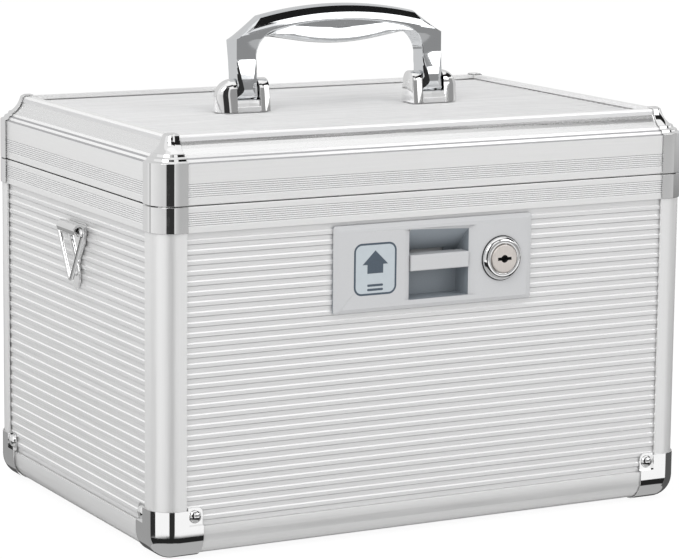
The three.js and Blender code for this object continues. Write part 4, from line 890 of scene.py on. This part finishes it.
PIN_Z = 228.5
HANDLE_LEAN = 6.0
HANDLE_X = 58.2
HANDLE_EDGE_WIDTH = 0.16
LEG_WIDTH = 12.0
LEG_PLAY = 0.8
LEG_INNER = HANDLE_X - LEG_WIDTH / 2
SHOULDER_X = HANDLE_X + LEG_WIDTH / 2
SHOULDER_Z = 27.2
FRONT_CORNER = (52.3, 34.3)
FRONT_TOP = 40.4
EDGE_CORNER = (48.5, 38.3)
EDGE_TOP = 43.7
ARCH_CORNER_RADIUS = 15.0
ARCH_SPRING = 16.5
ARCH_TOP = 35.7
ARCH_TILT = 11.5
ARCH_CORNER_X = LEG_INNER - ARCH_CORNER_RADIUS
ARCH_END_X = ARCH_CORNER_X + ARCH_CORNER_RADIUS * math.sin(math.radians(ARCH_TILT))
ARCH_END_Z = ARCH_SPRING + ARCH_CORNER_RADIUS * math.cos(math.radians(ARCH_TILT))
HANDLE_HALF_DEPTH = 6.5
ARCH_EDGE = 0.9
BAND_HEIGHT = 3.8
BAND_CORNER = (57.4, 30.0)
LEG_WAIST_DEPTH = 5.5
LEG_WAIST_Z = ARCH_SPRING
LEG_FOOT_Z = 4.0
LEG_CHAMFER = 3.4
LEG_CHAMFER_SLOPE = 2.36
LEG_STEPS = 12
CORNER_STEPS = 16
TOP_STEPS = 40
HANDLE_ANGLE = math.radians(12)
SWELL_ANGLE = math.radians(5)
SWELL_REACH = 47.0
SWELL_END_SHARE = 0.98
SWELL_DROP = 11.9
SWELL_END_DROP = 0.5
SWELL_SUNK = 1.5
SWELL_HALF_DEPTH = 6.1
SWELL_END_DEPTH_SHARE = 0.97
SWELL_NECK_DEPTH = 5.3
SWELL_NECK_TAPER = 0.02
SWELL_NECK_DROP = 4.0
SWELL_NECK_REACH = 29.0
SWELL_UNDERSIDE_SHARE = 0.09
SWELL_FLANK = 1.0
SWELL_FLANK_SLOPE = 0.13
SWELL_BEND_SLOPE = 0.35
SWELL_STATIONS = 64
SWELL_SIDE_STEPS = 16
CROWN_RISE = 1.6
CROWN_START = 49.0
CROWN_DEPTH = 4.9
CROWN_STEPS = 7

# Depth of each outline, how far its outer edge has gone from the band's foot (0) over
# the face's top edge (1) and the chamfer (2) to the crown (3), and its inner bevel
BAND_LEVELS = [(6.5, 0.0, 1.0), (6.42, 0.3, 0.55), (6.25, 0.62, 0.2), (6.0, 1.0, 0.0), (5.55, 1.36, 0.0)]


def crown_levels():
    levels = []
    base = math.sin(math.radians(CROWN_START))
    for a, b in arc(0, 0, 1, CROWN_START, 90, CROWN_STEPS):
        depth = CROWN_DEPTH * a / math.cos(math.radians(CROWN_START))
        levels.append((depth, 2 + (b - base) / (1 - base), 0.0))
    return levels


def arc_height(reach, edge, top, x):
    """Height at x of the arc through (0, top) and (reach, edge)."""
    rise = top - edge
    radius = (reach * reach + rise * rise) / (2 * rise)
    return top - radius + math.sqrt(radius * radius - x * x)


def arch_height(x):
    return arc_height(ARCH_END_X, ARCH_END_Z, ARCH_TOP, x)


def smooth(share):
    share = min(max(share, 0.0), 1.0)
    return share * share * (3 - 2 * share)


def outer_edge(rise):
    """Corner and top of the outer edge at a stage of the loft."""
    stages = [
        (*BAND_CORNER, FRONT_TOP - BAND_HEIGHT),
        (*FRONT_CORNER, FRONT_TOP),
        (*EDGE_CORNER, EDGE_TOP),
        (EDGE_CORNER[0], EDGE_CORNER[1] + CROWN_RISE, EDGE_TOP + CROWN_RISE),
    ]
    first = min(int(rise), len(stages) - 2)
    return [mix(a, b, rise - first) for a, b in zip(stages[first], stages[first + 1])]


def leg_depth_share(z):
    """The legs are waisted where the arch springs."""
    waist = LEG_WAIST_DEPTH / HANDLE_HALF_DEPTH
    if z < LEG_WAIST_Z:
        return mix(1.0, waist, max((z - LEG_FOOT_Z) / (LEG_WAIST_Z - LEG_FOOT_Z), 0.0))
    return mix(waist, 1.0, min((z - LEG_WAIST_Z) / (SHOULDER_Z - LEG_WAIST_Z), 1.0))


def leg_inset(z, depth):
    """Chamfer of a leg's upright edges, broad at the foot and gone at the waist."""
    width = LEG_CHAMFER * min(max(1 - z / LEG_WAIST_Z, 0.0), 1.0)
    return max(width - (HANDLE_HALF_DEPTH - depth) * LEG_CHAMFER_SLOPE, 0.0)


def half_outline(depth, rise, bevel):
    """Pairs of (outer, inner) points from the foot of the leg at +X to the middle."""
    corner_x, corner_z, top = outer_edge(rise)
    inset = ARCH_EDGE * bevel
    foot = -math.sqrt(max(HANDLE_HALF_DEPTH ** 2 - depth ** 2, 0)) - TIP
    pairs = []
    for i in range(LEG_STEPS + 1):
        z = mix(foot, ARCH_SPRING, i / LEG_STEPS)
        chamfer = leg_inset(z, depth)
        inner = LEG_INNER + chamfer + inset * smooth(z / ARCH_SPRING)
        pairs.append(((SHOULDER_X - chamfer, z), (inner, z)))
    reach = math.hypot(SHOULDER_X - corner_x, SHOULDER_Z - corner_z)
    upright = SHOULDER_Z - ARCH_SPRING
    turn = round(CORNER_STEPS * upright / (upright + reach))
    curve = arc(ARCH_CORNER_X, ARCH_SPRING, ARCH_CORNER_RADIUS + inset, 0, 90 - ARCH_TILT, CORNER_STEPS)
    for i in range(1, CORNER_STEPS + 1):
        if i <= turn:
            outer = (SHOULDER_X, mix(ARCH_SPRING, SHOULDER_Z, i / turn))
        else:
            share = (i - turn) / (CORNER_STEPS - turn)
            outer = (mix(SHOULDER_X, corner_x, share), mix(SHOULDER_Z, corner_z, share))
        pairs.append((outer, curve[i]))
    for i in range(1, TOP_STEPS + 1):
        share = 1 - i / TOP_STEPS
        x, low_x = corner_x * share, ARCH_END_X * share
        pairs.append(((x, arc_height(corner_x, corner_z, top, x)), (low_x, arch_height(low_x) + inset)))
    return pairs


def handle_ring(depth, rise, bevel):
    right = half_outline(abs(depth), rise, bevel)
    left = [((-a, b), (-c, d)) for (a, b), (c, d) in reversed(right[:-1])]
    outer, inner = zip(*right, *left)
    return [(x, depth * leg_depth_share(z), z) for x, z in outer + inner[::-1]]


def handle_frame():
    """The loft's skin, closed by a strip of quads over the front face and the back one."""
    levels = BAND_LEVELS + crown_levels()
    rings = [handle_ring(-depth, rise, bevel) for depth, rise, bevel in levels]
    rings += [handle_ring(*level) for level in reversed(levels[:-1])]
    points, faces = band(rings)
    count = len(rings[0])
    for start in (0, len(points) - count):
        for i in range(count // 2 - 1):
            faces.append((start + i, start + i + 1, start + count - 2 - i, start + count - 1 - i))
    return points, faces


def swell_ring(x):
    """Section of the palm swell: a neck under the arch and a grip that is widest low down."""
    reach = min(abs(x), ARCH_END_X)
    arch = arch_height(reach) - (abs(x) - reach) * SWELL_BEND_SLOPE
    fade = math.cos(x / SWELL_REACH * math.pi / 2)
    necked = math.sqrt(smooth(1 - abs(x) / SWELL_NECK_REACH))
    neck_drop = SWELL_NECK_DROP * necked
    neck = mix(SWELL_HALF_DEPTH * SWELL_END_DEPTH_SHARE, SWELL_NECK_DEPTH, necked)
    start = math.degrees(math.acos(neck / SWELL_HALF_DEPTH))
    flank = SWELL_FLANK * fade
    drop = SWELL_DROP * fade + SWELL_END_DROP
    upper = (drop - neck_drop - flank) / (math.sin(math.radians(start)) + SWELL_UNDERSIDE_SHARE)
    lower = upper * SWELL_UNDERSIDE_SHARE
    centre = arch - drop + lower + flank
    foot = SWELL_HALF_DEPTH - flank * SWELL_FLANK_SLOPE
    side = [(neck + SWELL_NECK_TAPER * neck_drop, arch + SWELL_SUNK)]
    above = arc(0, 0, 1, start, 0, SWELL_SIDE_STEPS)
    below = arc(0, 0, 1, 0, 90, SWELL_SIDE_STEPS)
    side += [(SWELL_HALF_DEPTH * a, centre + upper * b) for a, b in above]
    side += [(foot * a, centre - flank - lower * b) for a, b in below]
    return [(x, depth, z) for depth, z in side] + [(x, -depth, z) for depth, z in reversed(side[:-1])]


def palm_swell():
    end = SWELL_REACH * SWELL_END_SHARE
    return loft([swell_ring(mix(-end, end, i / SWELL_STATIONS)) for i in range(SWELL_STATIONS + 1)])


def leaned(part):
    """A part made upright about the pins' axis, set down there with the handle's lean."""
    points, faces = part
    turn = Matrix.Rotation(math.radians(-HANDLE_LEAN), 3, "X")
    return [tuple(turn @ Vector(point) + Vector((0, 0, PIN_Z))) for point in points], faces


def add_handle():
    slot = "handle_chrome"
    obj = add_piece("grip_handle", leaned(handle_frame()), "handle", slot, "handle", angle=HANDLE_ANGLE)
    add_edges(obj, HANDLE_EDGE_WIDTH)
    add_piece("palm_swell", leaned(palm_swell()), "handle", slot, angle=SWELL_ANGLE)


# Handle brackets: an inner ear, an outer ear that is round in plan and domed above,
# and the saddle between them, made for the side at -X

SADDLE_Z = 216.6
SADDLE_THICKNESS = 3.0
SADDLE_TOP = SADDLE_Z + SADDLE_THICKNESS
SADDLE_EDGE = 0.35
PIN_HEIGHT = PIN_Z - SADDLE_Z
PIN_SIDES = 32
PIN_RADIUS = 2.0
PIN_HEAD = 0.2
# How far behind the pin's visible end, and its radius there
PIN_HEAD_LINE = ((0.4, 2.0), (0.1, 1.75), (0, 1.2), (0, 0.05))
EAR_HALF_DEPTH = 7.7
EAR_RADIUS = 6.0
EAR_TIP = 0.05
INNER_EAR = 6.3
OUTER_EAR = 10.5
OUTER_EAR_WALL = 8.0
EAR_POWER = 2.4
EAR_EDGE = 0.5
EAR_EDGE_SHARE = 0.3
EAR_PLAN_STEPS = 28
DOME_STEPS = 16
INNER_EAR_FACE = LEG_INNER - LEG_PLAY
OUTER_EAR_FACE = SHOULDER_X + LEG_PLAY


def ear_outline(inset):
    """Side view of an ear as (y, z), drawn in by an inset."""
    lean = math.degrees(math.atan2(EAR_HALF_DEPTH - EAR_RADIUS, PIN_HEIGHT))
    crown = arc(0, PIN_Z, EAR_RADIUS - inset, lean, 180 - lean, EAR_PLAN_STEPS)
    foot = EAR_HALF_DEPTH - inset
    return [(foot, SADDLE_Z)] + crown + [(-foot, SADDLE_Z)]


def ear_half_at(height):
    if height <= PIN_HEIGHT:
        return mix(EAR_HALF_DEPTH, EAR_RADIUS, height / PIN_HEIGHT)
    return math.sqrt(max(EAR_RADIUS ** 2 - (height - PIN_HEIGHT) ** 2, EAR_TIP ** 2))


def outer_ear():
    crown = PIN_HEIGHT + EAR_RADIUS - OUTER_EAR_WALL
    stages = [(0.0, 1.0), (OUTER_EAR_WALL / 2, 1.0)]
    stages += [(OUTER_EAR_WALL + crown * b, max(a, TIP)) for a, b in arc(0, 0, 1, 0, 90, DOME_STEPS)]
    rings = []
    for height, share in stages:
        half = ear_half_at(height)
        ring = []
        for a, b in arc(0, 0, 1, -90, 90, EAR_PLAN_STEPS):
            reach = OUTER_EAR * share * abs(a) ** (2 / EAR_POWER)
            side = -half * math.copysign(abs(b) ** (2 / EAR_POWER), b)
            ring.append((-OUTER_EAR_FACE - reach, side, SADDLE_Z + height))
        rings.append(ring)
    return loft(rings)


def along_x(section, x):
    return [(x, y, z) for y, z in section]


def bracket():
    steps = [(0, EAR_EDGE), (EAR_EDGE * EAR_EDGE_SHARE, EAR_EDGE * EAR_EDGE_SHARE), (EAR_EDGE, 0)]
    stages = steps + [(INNER_EAR - x, inset) for x, inset in reversed(steps)]
    inner = loft([along_x(ear_outline(inset), x - INNER_EAR_FACE) for x, inset in stages])
    depth = EAR_HALF_DEPTH - COVER_LIFT / 2
    edge = SADDLE_EDGE
    half = [(depth, SADDLE_Z), (depth, SADDLE_TOP - edge), (depth - edge, SADDLE_TOP)]
    section = half + [(-y, z) for y, z in reversed(half)]
    saddle = loft([along_x(section, x) for x in (-OUTER_EAR_FACE - edge, edge - INNER_EAR_FACE)])
    return join([inner, outer_ear(), saddle])


def handle_pin():
    """A pin through both ears, with a rounded end that stands out of the inner ear."""
    head = INNER_EAR - INNER_EAR_FACE + PIN_HEAD
    stages = [(-OUTER_EAR_FACE - PIN_RADIUS, PIN_RADIUS)]
    stages += [(head - back, r) for back, r in PIN_HEAD_LINE]
    return loft([along_x([(a, PIN_Z + b) for a, b in circle(r, PIN_SIDES)], x) for x, r in stages])


def add_brackets():
    pieces = (("bracket", bracket(), "handle_bracket"), ("pivot_pin", handle_pin(), "handle_pin"))
    for side, sx in (("left", 1), ("right", -1)):
        for stem, part, replaced in pieces:
            obj = add_piece(f"{stem}_{side}", mirrored(part, sx), "lid", "chrome", f"{replaced}_{side}")
            add_edges(obj, EDGE_WIDTH / 2)


# Camera, floor, lamps and the studio that the chrome mirrors

FLOOR_HALF = 12.0
FLOOR_DROP = 0.2
FLOOR_COLOUR = (0.82, 0.82, 0.82)
FLOOR_ROUGHNESS = 0.9
FLOOR_GLOW_SHARE = 0.86
FLOOR_GLOW = 1.06
WORLD_DIFFUSE = 0.95
LAMP_TARGET = (0, 0, 0.1)
# Name, place, size and power
LAMPS = (("Key", (-1.6, -1.2, 1.8), 1.2, 14), ("Fill", (1.4, -1.8, 1.0), 1.0, 6))

# What reflections see round the horizon, by azimuth: 0 is the front, 90 the left
HORIZON_RAMP = (
    (-180, 0.66), (-120, 0.60), (-70, 0.62), (-40, 0.54), (-22, 0.50), (-4, 0.66), (0, 0.72),
    (1, 0.95), (2.5, 0.95), (3.5, 0.035), (38.5, 0.035), (41, 0.66), (50, 0.72), (55, 0.70),
    (112, 0.88), (121, 0.86), (123.5, 0.22), (126.5, 0.22), (129, 0.86), (150, 0.72), (180, 0.68),
)
# Patches over it: azimuth from, to, elevation from, to, softness and brightness.
# ROUND and SKY lie past the last azimuth and the zenith.
ROUND = 200
SKY = 120
STUDIO_PATCHES = (
    (-ROUND, 3, 12.5, SKY, 2, 1.0),
    (-75, -5, -6.85, 12.5, 0.4, 0.32),
    (41, ROUND, 14, SKY, 8, 0.92),
    (120, ROUND, 8, 70, 6, 0.74),
    (3, 41, 36, SKY, 4, 0.96),
    (-ROUND, -108, 7, 64, 5, 0.7),
    (-ROUND, 100, 66, SKY, 4, 1.1),
    (-24, 80, 38, 54, 2.5, 0.015),
    (-105, -20, 21.5, 47, 2.5, 0.015),
    (-ROUND, ROUND, -SKY, -38, 6, 0.45),
    (-ROUND, -60, -44, -8, 3, 0.1),
    (-60, 125, -38, -18, 3, 0.02),
    (-60, 0, -18, -10.5, 1.2, 1.05),
    (0, 25, -18, -10.5, 1.2, 0.03),
    (25, 93, -18, -10.5, 1.2, 1.05),
    (93, 123, -18, -10.5, 1.2, 0.03),
    (123, ROUND, -38, -10.5, 1.2, 0.36),
)
PATCH_SIDE_SOFTNESS = 3


def aim_camera():
    data = bpy.data.cameras.new("Camera")
    data.sensor_width = SENSOR_WIDTH
    data.sensor_fit = "HORIZONTAL"
    data.lens = CAMERA_LENS
    data.shift_x, data.shift_y = CAMERA_SHIFT
    data.clip_start, data.clip_end = CAMERA_RANGE
    camera = add_to_scene("Camera", data)
    camera.location = CAMERA_PLACE
    camera.rotation_euler = [math.radians(turn) for turn in CAMERA_TURN]
    bpy.context.scene.camera = camera


def add_lamps():
    for name, place, size, power in LAMPS:
        data = bpy.data.lights.new(name, "AREA")
        data.shape = "RECTANGLE"
        data.size = data.size_y = size
        data.energy = power
        lamp = add_to_scene(name, data)
        lamp.location = place
        lamp.rotation_euler = (Vector(LAMP_TARGET) - Vector(place)).to_track_quat("-Z", "Y").to_euler()


def add_floor():
    """A floor that glows white to the camera and keeps the shadow."""
    mesh = bpy.data.meshes.new("Floor")
    corners = [(a * FLOOR_HALF, b * FLOOR_HALF, 0) for a, b in ((-1, -1), (1, -1), (1, 1), (-1, 1))]
    mesh.from_pydata(corners, [], [(0, 1, 2, 3)])
    floor = add_to_scene("Floor", mesh)
    floor.location.z = -FLOOR_DROP * MM
    floor.visible_glossy = False
    material, wiring, shader = new_material("Floor", FLOOR_COLOUR, FLOOR_ROUGHNESS, 0.0)
    wiring.plug(shader["Specular IOR Level"], 0.0)
    glow = wiring.add("Emission", Strength=FLOOR_GLOW)
    seen = wiring.add("LightPath").outputs["Is Camera Ray"]
    blend = wiring.add("MixShader", Fac=wiring.maths("MULTIPLY", seen, FLOOR_GLOW_SHARE))
    wiring.plug(blend.inputs[1], material.node_tree.nodes["Principled BSDF"].outputs[0])
    wiring.plug(blend.inputs[2], glow.outputs[0])
    wiring.plug(material.node_tree.nodes["Material Output"].inputs["Surface"], blend.outputs[0])
    mesh.materials.append(material)


def horizon(wiring, azimuth):
    """Brightness by azimuth, from the stops of HORIZON_RAMP."""
    turn = wiring.maths("DIVIDE", wiring.maths("ADD", azimuth, 180.0), 360.0)
    node = wiring.add("ValToRGB", Fac=turn)
    elements = node.color_ramp.elements
    elements[0].position, elements[1].position = 0.0, 1.0
    for degrees, _ in HORIZON_RAMP[1:-1]:
        elements.new((degrees + 180) / 360)
    for element, (_, brightness) in zip(elements, HORIZON_RAMP):
        element.color = (brightness, brightness, brightness, 1)
    return node.outputs[0]


def add_world():
    world = bpy.data.worlds.new("Studio")
    bpy.context.scene.world = world
    world.use_nodes = True
    wiring = Wiring(world.node_tree)
    split = wiring.add("SeparateXYZ", Vector=wiring.add("TexCoord").outputs["Generated"])
    x, y, z = split.outputs
    aside, ahead = [wiring.maths("MULTIPLY", way, -1.0) for way in (x, y)]
    azimuth = wiring.maths("DEGREES", wiring.maths("ARCTAN2", aside, ahead))
    elevation = wiring.maths("DEGREES", wiring.maths("ARCSINE", z))
    seen = horizon(wiring, azimuth)
    for left, right, low, high, softness, brightness in STUDIO_PATCHES:
        inside = wiring.within(elevation, low, high, softness)
        if (left, right) != (-ROUND, ROUND):
            sides = wiring.within(azimuth, left, right, min(softness, PATCH_SIDE_SOFTNESS))
            inside = wiring.maths("MULTIPLY", inside, sides)
        seen = wiring.mix(inside, seen, brightness)
    path = wiring.add("LightPath").outputs
    strength = wiring.mix(path["Is Glossy Ray"], WORLD_DIFFUSE, seen)
    background = world.node_tree.nodes["Background"].inputs
    wiring.plug(background["Color"], (1, 1, 1, 1))
    wiring.plug(background["Strength"], wiring.mix(path["Is Camera Ray"], strength, 1.0))


dress_nodes()
add_sheets()
add_covers()
add_rivets()
add_barrel()
add_plug()
add_label()
add_strap_rings()
add_spring()
add_brackets()
add_handle()

bpy.context.scene.view_settings.view_transform = "Standard"
aim_camera()
add_floor()
add_world()
add_lamps()
